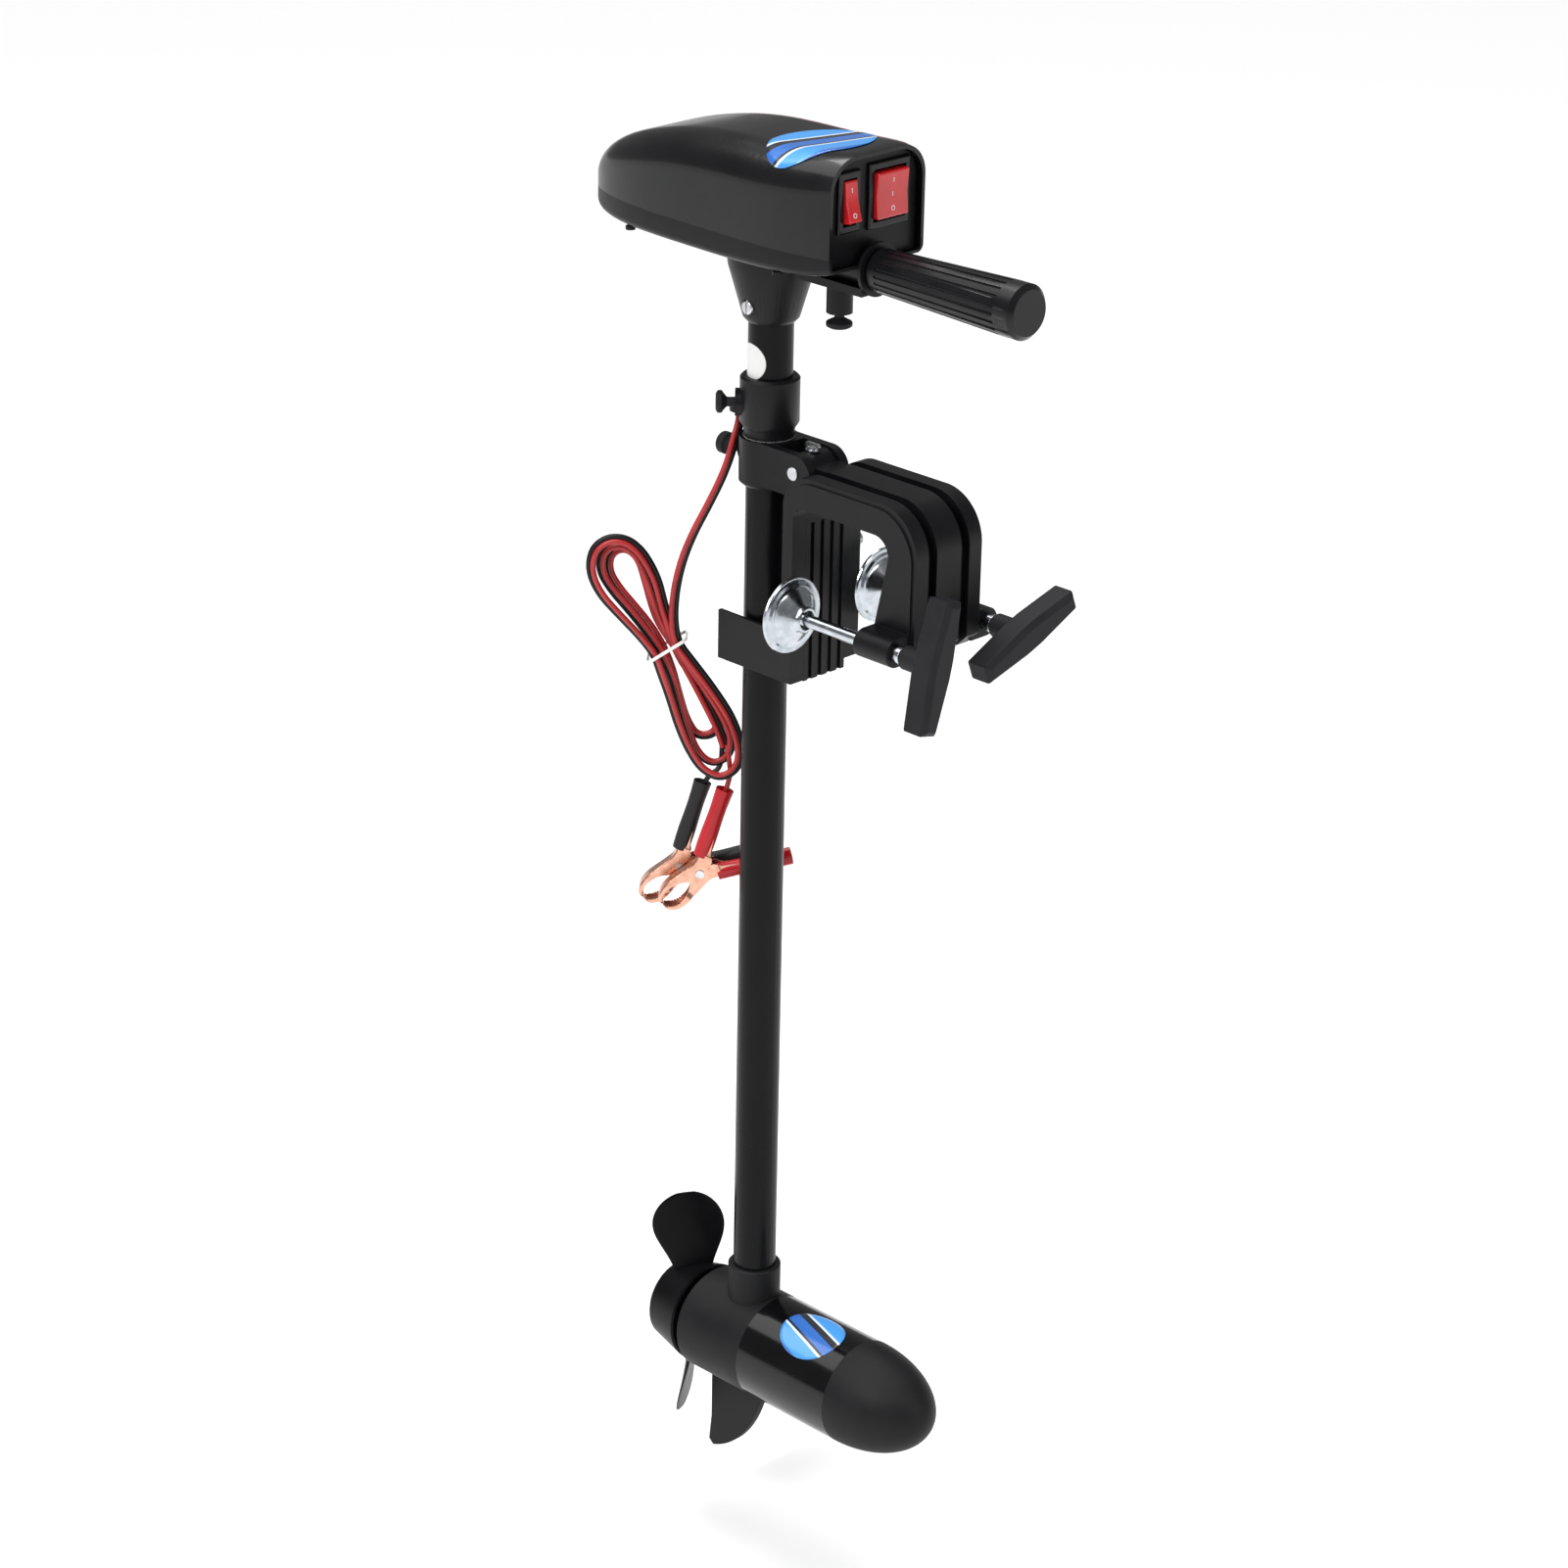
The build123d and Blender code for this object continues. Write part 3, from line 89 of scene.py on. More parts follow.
# ------------------------------------------------------------------ camera
def place_camera():
    lens = bpy.data.cameras.new("camera")
    camera = bpy.data.objects.new("camera", lens)
    bpy.context.scene.collection.objects.link(camera)
    swing, dip, roll = radians(44.495), radians(22.961), radians(1.139)
    back = Vector((sin(swing) * cos(dip), -cos(swing) * cos(dip), sin(dip)))
    right = Vector((cos(swing), sin(swing), 0))
    upward = back.cross(right)
    side = right * cos(roll) + upward * sin(roll)
    top = upward * cos(roll) - right * sin(roll)
    camera.matrix_world = Matrix.Translation((1.70675, -1.79551, 0.86696)) @ Matrix(
        (side, top, back)).transposed().to_4x4()
    lens.sensor_width = 36
    lens.lens = 99.96
    lens.clip_end = 150
    bpy.context.scene.camera = camera


place_camera()


# ------------------------------------------------------------------ finishes
def new_finish(name):
    finish = bpy.data.materials.new(name)
    finish.use_nodes = True
    tree = finish.node_tree
    shader = tree.nodes["Principled BSDF"]
    place = tree.nodes.new("ShaderNodeTexCoord")
    return finish, tree, shader, place


def noise(tree, place, size, detail=3.0):
    n = tree.nodes.new("ShaderNodeTexNoise")
    n.inputs["Scale"].default_value = 1.0 / size
    n.inputs["Detail"].default_value = detail
    tree.links.new(place.outputs["Object"], n.inputs["Vector"])
    return n


def spread(tree, source, low, high):
    m = tree.nodes.new("ShaderNodeMapRange")
    m.inputs["From Min"].default_value = 0.3
    m.inputs["From Max"].default_value = 0.7
    m.inputs["To Min"].default_value = low
    m.inputs["To Max"].default_value = high
    tree.links.new(source, m.inputs["Value"])
    return m.outputs["Result"]


def two_tone(tree, source, first, second):
    ramp = tree.nodes.new("ShaderNodeValToRGB")
    ramp.color_ramp.elements[0].position = 0.35
    ramp.color_ramp.elements[1].position = 0.65
    ramp.color_ramp.elements[0].color = (*first, 1)
    ramp.color_ramp.elements[1].color = (*second, 1)
    tree.links.new(source, ramp.inputs["Fac"])
    return ramp.outputs["Color"]


def bumps(tree, shader, source, depth, strength=1.0):
    b = tree.nodes.new("ShaderNodeBump")
    b.inputs["Strength"].default_value = strength
    b.inputs["Distance"].default_value = depth
    tree.links.new(source, b.inputs["Height"])
    tree.links.new(b.outputs["Normal"], shader.inputs["Normal"])
    return b


def moulded(name, dark, light, rough, grain=0.35, depth=0.02, coat=0.0, specular=0.5):
    """Moulded plastic: fine spark grain, faint cloudy colour and uneven gloss."""
    finish, tree, shader, place = new_finish(name)
    cloud = noise(tree, place, 0.030)
    tree.links.new(two_tone(tree, cloud.outputs["Fac"], dark, light), shader.inputs["Base Color"])
    tree.links.new(spread(tree, cloud.outputs["Fac"], rough[0], rough[1]), shader.inputs["Roughness"])
    fine = noise(tree, place, grain * MM, 4.0)
    bumps(tree, shader, fine.outputs["Fac"], depth * MM, 0.6)
    shader.inputs["Coat Weight"].default_value = coat
    shader.inputs["Coat Roughness"].default_value = 0.08
    shader.inputs["Specular IOR Level"].default_value = specular
    return finish


def metal(name, dark, light, rough, brushed=None, scale=0.4, depth=0.01):
    """Plated or bare metal with faint stains and fine scratches along one axis."""
    finish, tree, shader, place = new_finish(name)
    shader.inputs["Metallic"].default_value = 1.0
    cloud = noise(tree, place, 0.006)
    tree.links.new(two_tone(tree, cloud.outputs["Fac"], dark, light), shader.inputs["Base Color"])
    stretch = tree.nodes.new("ShaderNodeMapping")
    stretch.inputs["Scale"].default_value = brushed or (1, 1, 1)
    tree.links.new(place.outputs["Object"], stretch.inputs["Vector"])
    fine = tree.nodes.new("ShaderNodeTexNoise")
    fine.inputs["Scale"].default_value = 1000 / scale
    fine.inputs["Detail"].default_value = 4.0
    tree.links.new(stretch.outputs["Vector"], fine.inputs["Vector"])
    tree.links.new(spread(tree, fine.outputs["Fac"], rough[0], rough[1]), shader.inputs["Roughness"])
    bumps(tree, shader, fine.outputs["Fac"], depth * MM, 0.5)
    return finish


casting = moulded("black nylon casting", (0.0035, 0.0035, 0.0045), (0.0060, 0.0060, 0.0070), (0.34, 0.44), 0.5, 0.03, 0, 0.20)
cowl_gloss = moulded("glossy cowl", (0.0035, 0.0035, 0.0042), (0.0050, 0.0050, 0.0060), (0.26, 0.32), 2.2, 0.012, 0.30, 0.22)
pod_gloss = moulded("polished motor tube", (0.002, 0.002, 0.0025), (0.003, 0.003, 0.0035), (0.12, 0.18), 3.0, 0.01, 0.25, 0.2)
matte_shell = moulded("matte pod casting", (0.0060, 0.0060, 0.0070), (0.0095, 0.0095, 0.0105), (0.50, 0.60), 0.45, 0.035, 0, 0.18)
soft_black = moulded("soft black handle", (0.009, 0.009, 0.011), (0.013, 0.013, 0.015), (0.52, 0.62), 0.4, 0.05, 0, 0.2)
grip_black = moulded("ribbed grip rubber", (0.0035, 0.0035, 0.0045), (0.0060, 0.0060, 0.0070), (0.24, 0.34), 0.6, 0.03, 0, 0.3)
tube_black = moulded("black coated tube", (0.0020, 0.0020, 0.0026), (0.0032, 0.0032, 0.0040), (0.26, 0.34), 1.4, 0.02, 0.0, 0.14)
blade_black = moulded("glossy propeller nylon", (0.0025, 0.0025, 0.003), (0.0040, 0.0040, 0.0050), (0.32, 0.42), 1.0, 0.02, 0.0, 0.10)
red_lamp = moulded("red rocker", (0.50, 0.006, 0.010), (0.62, 0.014, 0.018), (0.20, 0.28), 1.2, 0.01, 0.6)
black_pvc = moulded("black cable sheath", (0.005, 0.005, 0.006), (0.009, 0.009, 0.010), (0.34, 0.44), 0.8, 0.03, 0, 0.25)
red_pvc = moulded("red cable sheath", (0.33, 0.016, 0.018), (0.44, 0.028, 0.030), (0.30, 0.40), 0.8, 0.03, 0, 0.4)
red_vinyl = moulded("red clip sleeve vinyl", (0.40, 0.004, 0.010), (0.50, 0.008, 0.016), (0.28, 0.38), 0.9, 0.03, 0.1, 0.35)
black_vinyl = moulded("black clip sleeve vinyl", (0.009, 0.009, 0.010), (0.014, 0.014, 0.015), (0.38, 0.5), 0.9, 0.03, 0, 0.3)
white_nylon = moulded("white nylon tie", (0.78, 0.78, 0.75), (0.86, 0.86, 0.84), (0.35, 0.45), 0.6, 0.02)
acetal = moulded("acetal", (0.62, 0.61, 0.56), (0.70, 0.69, 0.65), (0.35, 0.45), 0.6, 0.02)
ferrite = moulded("ferrite magnet", (0.03, 0.03, 0.032), (0.05, 0.05, 0.052), (0.55, 0.7), 0.3, 0.05)
zinc = metal("bright zinc plate", (0.42, 0.46, 0.50), (0.58, 0.61, 0.65), (0.14, 0.24), (1, 1, 1), 3.0, 0.002)
steel = metal("stainless steel", (0.52, 0.53, 0.55), (0.66, 0.67, 0.69), (0.22, 0.36), (1, 1, 8))
copper = metal("copper plated sheet", (0.66, 0.34, 0.24), (0.80, 0.46, 0.34), (0.22, 0.36), (1, 1, 1), 1.5)
copper_bar = metal("turned brass insert", (0.60, 0.38, 0.20), (0.72, 0.48, 0.27), (0.22, 0.34))
laminated = metal("laminated iron", (0.16, 0.16, 0.17), (0.24, 0.24, 0.25), (0.35, 0.5), (40, 1, 1))

SLOTS = {
    "black_casting": casting, "black_gloss": cowl_gloss, "black_soft": soft_black, "black_tube": tube_black,
    "zinc": zinc, "steel": steel, "copper": copper, "copper_bar": copper_bar, "iron": laminated,
    "magnet": ferrite, "carbon": ferrite, "black_vinyl": black_pvc, "red_rocker": red_lamp,
    "white_nylon": white_nylon, "acetal": acetal,
}
SPECIAL = {
    "rear_cap": matte_shell, "nose_cone": matte_shell, "motor_tube": pod_gloss, "propeller": blade_black,
    "handle_grip": grip_black, "left_t_handle": soft_black, "right_t_handle": soft_black,
    "head_screws": casting, "screw_inserts": casting,
}
node_slot = {p["node"]: p["material_slot"] for p in frame["record"]["subparts"]}
for name, node in nodes.items():
    finish = SPECIAL.get(name) or SLOTS[node_slot[name]]
    node.data.materials.clear()
    node.data.materials.append(finish)


# ------------------------------------------------------------------ making pieces
def piece(name, shape, finishes, body, slot, *stands_for):
    mesh = bpy.data.meshes.new(name)
    shape.to_mesh(mesh)
    shape.free()
    for finish in finishes:
        mesh.materials.append(finish)
    made = bpy.data.objects.new(name, mesh)
    bpy.context.scene.collection.objects.link(made)
    if body:
        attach(made, body)
    if stands_for:
        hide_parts(*stands_for)
    return made


def softened(node, radius, steps=2, angle=32.0):
    """The node again with its corners rounded as the moulding's are."""
    source = nodes[node]
    shape = bmesh.new()
    shape.from_mesh(source.data)
    bmesh.ops.remove_doubles(shape, verts=shape.verts, dist=2e-6)
    bmesh.ops.dissolve_limit(shape, angle_limit=radians(0.6), verts=shape.verts, edges=shape.edges)
    for face in shape.faces:
        face.smooth = True
    for edge in shape.edges:
        edge.smooth = len(edge.link_faces) == 2 and edge.calc_face_angle(0) < radians(angle)
    made = piece(node + "_rounded", shape, [source.data.materials[0]], source["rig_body"], node_slot[node], node)
    rounding = made.modifiers.new("rounding", "BEVEL")
    rounding.width = radius * MM
    rounding.segments = steps
    rounding.limit_method = "ANGLE"
    rounding.angle_limit = radians(angle)
    rounding.harden_normals = True
    rounding.use_clamp_overlap = True
    return made


for node, radius in {
    "clamp_frame": 1.2, "left_clamp_side": 1.0, "right_clamp_side": 1.0, "shaft_rest": 0.7,
    "pivot_sleeve": 0.9, "depth_collar": 0.8, "left_t_handle": 1.0, "right_t_handle": 1.0,
    "handle_bracket": 0.6, "neck": 0.8, "cowl_base": 0.5, "cowl_cover": 0.7, "switch_panel": 0.4,
    "direction_switch": 0.4, "speed_switch": 0.4, "direction_rocker": 0.7, "speed_rocker": 0.9,
    "rear_cap": 1.0, "collar_thumb_screw": 0.5, "steering_knob": 0.5, "handle_thumb_screw": 0.5,
    "left_clamp_screw": 0.3, "right_clamp_screw": 0.3, "tilt_pin": 0.5, "handle_grip": 0.3,
}.items():
    softened(node, radius)


def pressed_cup(node):
    """Pressed screw cup: rolled rim, flat ring, step, cone and the neck that holds the screw's ball."""
    low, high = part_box(node)
    middle = Vector((low[0], (low[1] + high[1]) / 2, (low[2] + high[2]) / 2))
    profile = [(0.5, 22.6), (0.0, 23.2), (0.2, 23.8), (0.9, 24.0), (1.7, 23.7), (2.1, 23.0), (2.0, 22.0),
               (2.2, 21.0), (3.0, 20.4), (3.8, 19.8), (4.0, 18.6), (4.3, 17.6), (5.2, 16.6), (10.6, 9.6),
               (11.6, 8.6), (12.6, 8.0), (14.0, 7.8), (14.4, 7.4), (14.4, 6.2), (12.8, 6.0), (11.6, 6.4),
               (10.2, 7.8), (4.4, 15.4), (3.2, 17.0), (2.8, 18.8), (1.4, 20.6), (1.0, 21.6)]
    shape = bmesh.new()
    ring = [shape.verts.new(middle + Vector((x, 0, r)) * MM) for x, r in profile]
    edges = [shape.edges.new((a, b)) for a, b in zip(ring, ring[1:] + ring[:1])]
    bmesh.ops.spin(shape, geom=ring + edges, cent=middle, axis=(1, 0, 0), angle=2 * pi, steps=72,
                   use_merge=True, use_duplicate=False)
    bmesh.ops.recalc_face_normals(shape, faces=shape.faces)
    for face in shape.faces:
        face.smooth = True
    for edge in shape.edges:
        edge.smooth = len(edge.link_faces) == 2 and edge.calc_face_angle(0) < radians(35)
    return piece(node + "_pressed", shape, [zinc], node, "zinc", node)


pressed_cup("left_cup")
pressed_cup("right_cup")

# ------------------------------------------------------------------ cords
def route_line(name, points):
    """Smooth centreline through a cord's route, read back as points."""
    curve = bpy.data.curves.new(name, "CURVE")
    curve.dimensions = "3D"
    spline = curve.splines.new("NURBS")
    spline.points.add(len(points) - 1)
    for point, p in zip(spline.points, points):
        point.co = (*p, 1)
    spline.order_u = 3
    spline.use_endpoint_u = True
    curve.resolution_u = 8
    holder = bpy.data.objects.new(name, curve)
    line = bpy.data.meshes.new_from_object(holder)
    found = [v.co.copy() for v in line.vertices]
    bpy.data.meshes.remove(line)
    bpy.data.objects.remove(holder)
    return found


def strand(points, radius, sides=6):
    """Round wire along a line of points, as a mesh."""
    curve = bpy.data.curves.new("strand", "CURVE")
    curve.dimensions = "3D"
    curve.bevel_depth = radius
    curve.bevel_resolution = sides
    curve.use_fill_caps = True
    spline = curve.splines.new("POLY")
    spline.points.add(len(points) - 1)
    for point, p in zip(spline.points, points):
        point.co = (*p, 1)
    holder = bpy.data.objects.new("strand", curve)
    mesh = bpy.data.meshes.new_from_object(holder)
    bpy.data.objects.remove(holder)
    return mesh


def twin_cord(name, line, width, flat_side):
    """Red and black wires joined side by side, lying flat across flat_side."""
    radius = width / 4
    halves = ([], [])
    for i, p in enumerate(line):
        along = (line[min(i + 1, len(line) - 1)] - line[max(i - 1, 0)]).normalized()
        out = flat_side(i, len(line))
        roll = radians(38) + radians(10) * sin(i * 0.045)
        beside = along.cross(out).normalized() * cos(roll)
        beside = (beside + out * sin(roll)).normalized()
        halves[0].append(p + beside * radius * 0.98)
        halves[1].append(p - beside * radius * 0.98)
    shape = bmesh.new()
    for tone, half in enumerate(halves):
        before = len(shape.faces)
        mesh = strand(half, radius)
        shape.from_mesh(mesh)
        bpy.data.meshes.remove(mesh)
        shape.faces.ensure_lookup_table()
        for face in shape.faces[before:]:
            face.material_index = tone
            face.smooth = True
    return shape


head_route = [(0, 150, -38), (0, 134, -38), (-0.5, 118, -34.5), (-1.5, 101, -28.8), (-3.5, 84, -24.6),
              (-7, 70, -22.6), (-11.6, 59, -19.9), (-15.6, 50, -16.8), (-17.3, 42, -15)]
run_route = [(-17.3, 42, -15), (-17.3, 35.8, -15), (-18.2, 29.5, -13), (-20.8, 21, -9.4), (-23.8, 9, -7.4),
             (-29, -6, -8.4), (-37, -24, -10), (-46, -43, -13), (-53, -63, -17), (-57.2, -84, -19),
             (-58.2, -104, -19.5)]
# three turns of the hank, largest first: down the near side, round the foot, up and over the top
turns = [
    (-19.5, [(-55.5, -119), (-46.5, -131), (-32.5, -150), (-20, -170), (-14.5, -188), (-16, -203), (-27, -210.5),
             (-39, -204.5), (-47.5, -191), (-54.5, -174), (-60, -155), (-66, -138), (-69.5, -127), (-79, -114.5),
             (-92, -100.5), (-104, -87), (-110.5, -72), (-108.5, -57.5), (-99, -50), (-88, -50.5), (-79.5, -57),
             (-73.5, -66), (-68, -78), (-64.5, -93), (-60.5, -106)]),
    (-25.5, [(-57, -120), (-49, -133), (-37, -151), (-26.5, -168), (-20, -183), (-21.5, -197), (-32, -203.5),
             (-42.5, -195.5), (-49, -179), (-54, -161), (-58.5, -144), (-64, -132), (-67, -125), (-75.5, -112.5),
             (-86.5, -98.5), (-97.5, -85.5), (-104.5, -73), (-103, -60), (-93.5, -54.5), (-83.5, -59),
             (-77.5, -69), (-73.5, -80), (-70, -91.5), (-66, -103), (-61.5, -113)]),
    (-31.5, [(-58.5, -121.5), (-52.5, -135), (-42.5, -149), (-33, -161), (-27, -173), (-31.5, -185),
             (-43, -186.5), (-50, -175), (-54.5, -159), (-59, -141), (-64, -127), (-72, -112.5), (-82, -99.5),
             (-92.5, -87), (-99.5, -75), (-98, -63), (-88.5, -59), (-80, -66), (-76, -79.5), (-72.5, -93),
             (-68.5, -106), (-63, -115.5)]),
]
last_leg = [(-57.5, -124, -32), (-50.5, -137, -31), (-42, -152.5, -29), (-34, -168, -27),
            (-28, -180, -25.5), (-25, -190, -25)]


def metres(route):
    return [hang(s * MM, h * MM, q * MM) for s, h, q in route]


hank_route = [(s, h, q) for q, turn in turns for s, h in turn]
head_line = route_line("head cord route", metres(head_route))
run_line = route_line("battery cord route", metres(run_route + hank_route + last_leg))


def lies_flat(i, count):
    """The pair lies nearly flat in the hank, its red wire rolled a little to the near side."""
    return TOWARDS


head_cord = piece("head_cord", twin_cord("head_cord", head_line, 0.007, lies_flat), [red_pvc, black_pvc],
                  None, "black_vinyl", "head_cable")
battery_cord = piece("battery_cord", twin_cord("battery_cord", run_line, 0.007, lies_flat),
                     [red_pvc, black_pvc], None, "black_vinyl", "power_cable", "cable_hank")


lead_routes = {
    "black": [(-26.5, -189, -24), (-26.5, -199, -25.5), (-28.5, -208, -29), (-34, -214, -35), (-38.2, -222, -38),
              (-46.2, -248.2, -38)],
    "red": [(-23.5, -189, -24.5), (-22, -199, -24.2), (-20.8, -208, -24), (-22.2, -215, -24.8),
            (-24, -222, -25), (-32.1, -247.6, -25)],
}
leads = {}
for tone, sheath in (("black", black_pvc), ("red", red_pvc)):
    line = route_line(tone + " lead route", metres(lead_routes[tone]))
    shape = bmesh.new()
    mesh = strand(line, 1.75 * MM)
    shape.from_mesh(mesh)
    bpy.data.meshes.remove(mesh)
    for face in shape.faces:
        face.smooth = True
    leads[tone] = (piece(tone + "_lead", shape, [sheath], "pivot", "black_vinyl"), line)
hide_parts("clip_leads")


# ------------------------------------------------------------------ battery clips
CLIPS = {"black": ((-53.1, -278.5, -38.0), 44.7), "red": ((-39.6, -277.8, -25.0), 43.6)}
SPREAD = radians(29)                      # each handle's angle from the clip's centre line
# stations along one pressed half: x, y of the back, width, how deep its cheeks fold
PRESSED = [(-33.0, 0.4, 7.0, 1.2), (-32.8, 3.0, 9.6, 2.2), (-30.6, 6.4, 11.2, 3.0), (-26.0, 8.8, 11.6, 3.4),
           (-20.0, 9.6, 11.2, 3.8), (-14.0, 9.2, 10.4, 5.0), (-8.5, 8.6, 9.8, 8.4), (-4.0, 8.2, 9.4, 11.4),
           (1.0, 8.0, 9.2, 11.4), (5.0, 8.8, 9.2, 10.6), (9.5, 10.6, 9.0, 8.6), (14.0, 12.6, 7.6, 6.0),
           (34.0, 22.6, 6.4, 3.6)]


def clip_matrix(tone):
    """Clip frame: +X runs along the middle of the handles, +Y to the upper half, Z along the rivet."""
    (s, h, q), lean = CLIPS[tone]
    a = radians(lean)
    x = ACROSS * cos(a) + UP * sin(a)
    y = -ACROSS * sin(a) + UP * cos(a)
    z = x.cross(y)
    return Matrix.Translation(hang(s * MM, h * MM, q * MM)) @ Matrix((x, y, z)).transposed().to_4x4()


def between(table, t):
    """Smoothly placed row of a table at t from 0 to its last row."""
    i = min(int(t), len(table) - 2)
    f = t - i
    rows = [table[max(i - 1, 0)], table[i], table[i + 1], table[min(i + 2, len(table) - 1)]]
    return [0.5 * (2 * b + (c - a) * f + (2 * a - 5 * b + 4 * c - d) * f * f + (3 * b - a - 3 * c + d) * f ** 3)
            for a, b, c, d in zip(*rows)]


def pressed_half(tone, upper, body, *stands_for):
    """Sheet-metal half: a channel whose cheeks carry the rivet, with a curved toothed mouth."""
    shape = bmesh.new()
    long, wide = 96, 14
    bmesh.ops.create_grid(shape, x_segments=long, y_segments=wide, size=0.5)
    for v in shape.verts:
        step = round((v.co.x + 0.5) * long)
        t = step / long * (len(PRESSED) - 1)
        x, y, width, fold = between(PRESSED, t)
        ahead, behind = between(PRESSED, min(t + 0.1, 12)), between(PRESSED, max(t - 0.1, 0))
        along = Vector((ahead[0] - behind[0], ahead[1] - behind[1], 0)).normalized()
        inward = Vector((along.y, -along.x, 0))
        if 4.6 < t < 9.6 and not upper:     # the lower half nests between the upper one's cheeks
            width -= 2.4 * min(1, (t - 4.6) * 2, (9.6 - t) * 2)
        if t < 3.4 and step % 3 == 0:       # teeth round the mouth
            fold -= 1.0
        side = (v.co.y + 0.5) * wide - wide / 2
        reach = wide / 2 - 4
        if abs(side) <= reach:
            across, deep = side / reach * (width / 2 - 0.8), 0.0
        else:
            past = (abs(side) - reach) / 4
            bend = min(past * 4, 1)
            across = (width / 2 - 0.8 + 0.8 * sin(bend * pi / 2)) * (1 if side > 0 else -1)
            deep = 0.8 * (1 - cos(bend * pi / 2)) + max(past * 4 - 1, 0) / 3 * max(fold - 0.8, 0)
        if 5.2 < t < 9.4:
            inward = Vector((0.0, -1.0, 0)) * 0.7 + inward * 0.3
        spot = Vector((x, y, 0)) + inward * deep
        v.co = (spot.x, spot.y, across)
    if not upper:
        bmesh.ops.scale(shape, vec=(1, -1, 1), verts=shape.verts)
    bmesh.ops.recalc_face_normals(shape, faces=shape.faces)
    back = sum((f.normal for f in shape.faces if abs(f.calc_center_median().z) < 2), Vector())
    if back.y * (1 if upper else -1) < 0:
        bmesh.ops.reverse_faces(shape, faces=shape.faces)
    bmesh.ops.solidify(shape, geom=shape.faces, thickness=0.75)
    bmesh.ops.scale(shape, vec=(MM, MM, MM), verts=shape.verts)
    bmesh.ops.transform(shape, matrix=clip_matrix(tone), verts=shape.verts)
    for face in shape.faces:
        face.smooth = True
    for e in shape.edges:
        e.smooth = len(e.link_faces) == 2 and e.calc_face_angle(0) < radians(40)
    return piece(f"{tone}_clip_{'upper' if upper else 'lower'}_metal", shape, [copper], body, "copper", *stands_for)


def vinyl_sleeve(tone, upper, body, finish):
    """Dipped-look tube sleeve with square-cut open ends, slightly flattened by the handle inside."""
    shape = bmesh.new()
    bmesh.ops.create_cone(shape, segments=28, radius1=1, radius2=1, depth=49, cap_ends=True)
    for cut in range(-22, 24, 4):
        bmesh.ops.bisect_plane(shape, geom=shape.verts[:] + shape.edges[:] + shape.faces[:],
                               plane_co=(0, 0, cut), plane_no=(0, 0, 1))
    ends = [f for f in shape.faces if abs(abs(f.calc_center_median().z) - 24.5) < 0.01]
    for end in ends:
        rim = bmesh.ops.inset_individual(shape, faces=[end], thickness=0.24)
        bmesh.ops.translate(shape, verts=end.verts, vec=(0, 0, -3.0 if end.normal.z > 0 else 3.0))
    for v in shape.verts:
        run = (v.co.z + 24.5) / 49
        flat = 1 + 0.05 * sin(run * 7 + (0 if upper else 2)) - 0.05 * (1 - run)
        v.co.x *= 5.7 * flat
        v.co.y *= 4.7 * (2 - flat)
    sharp = [e for e in shape.edges if len(e.link_faces) == 2 and e.calc_face_angle(0) > radians(50)]
    bmesh.ops.bevel(shape, geom=sharp, affect="EDGES", offset=0.35, segments=2, profile=0.5, material=-1)
    turn = Matrix(((0, 0, 1), (1, 0, 0), (0, 1, 0))).to_4x4()
    place = Matrix.Rotation(SPREAD, 4, "Z") @ Matrix.Translation((35.5, 2.6, 0)) @ turn
    bmesh.ops.transform(shape, matrix=place, verts=shape.verts)
    if not upper:
        bmesh.ops.scale(shape, vec=(1, -1, 1), verts=shape.verts)
    bmesh.ops.recalc_face_normals(shape, faces=shape.faces)
    bmesh.ops.scale(shape, vec=(MM, MM, MM), verts=shape.verts)
    bmesh.ops.transform(shape, matrix=clip_matrix(tone), verts=shape.verts)
    for face in shape.faces:
        face.smooth = True
    for e in shape.edges:
        e.smooth = len(e.link_faces) == 2 and e.calc_face_angle(0) < radians(45)
    return piece(f"{tone}_clip_{'upper' if upper else 'lower'}_sleeve", shape, [finish], body, "black_vinyl")


def clip_spring(tone):
    """Torsion spring round the rivet, between the cheeks, with a leg along each handle."""
    points = [Vector((15 * cos(SPREAD), 15 * sin(SPREAD) - 1.6, -2.0))]
    for i in range(61):
        a = SPREAD + pi / 2 + i / 60 * (6 * pi - 2 * SPREAD - pi)
        points.append(Vector((2.5 * cos(a), 2.5 * sin(a), -2.0 + 4.0 * i / 60)))
    points.append(Vector((15 * cos(SPREAD), -15 * sin(SPREAD) + 1.6, 2.0)))
    place = clip_matrix(tone) @ Matrix.Scale(MM, 4)
    mesh = strand([place @ p for p in points], 0.45 * MM, 3)
    shape = bmesh.new()
    shape.from_mesh(mesh)
    bpy.data.meshes.remove(mesh)
    for face in shape.faces:
        face.smooth = True
    return piece(tone + "_clip_spring", shape, [steel], "pivot", "steel")


for tone, vinyl in (("black", black_vinyl), ("red", red_vinyl)):
    pressed_half(tone, True, "pivot", tone + "_clip")
    vinyl_sleeve(tone, True, "pivot", vinyl)
    pressed_half(tone, False, tone + "_jaw", tone + "_clip_jaw")
    vinyl_sleeve(tone, False, tone + "_jaw", vinyl)
    clip_spring(tone)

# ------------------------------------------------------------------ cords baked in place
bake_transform(head_cord)
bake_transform(battery_cord)
for tone in ("black", "red"):
    lead, line = leads[tone]


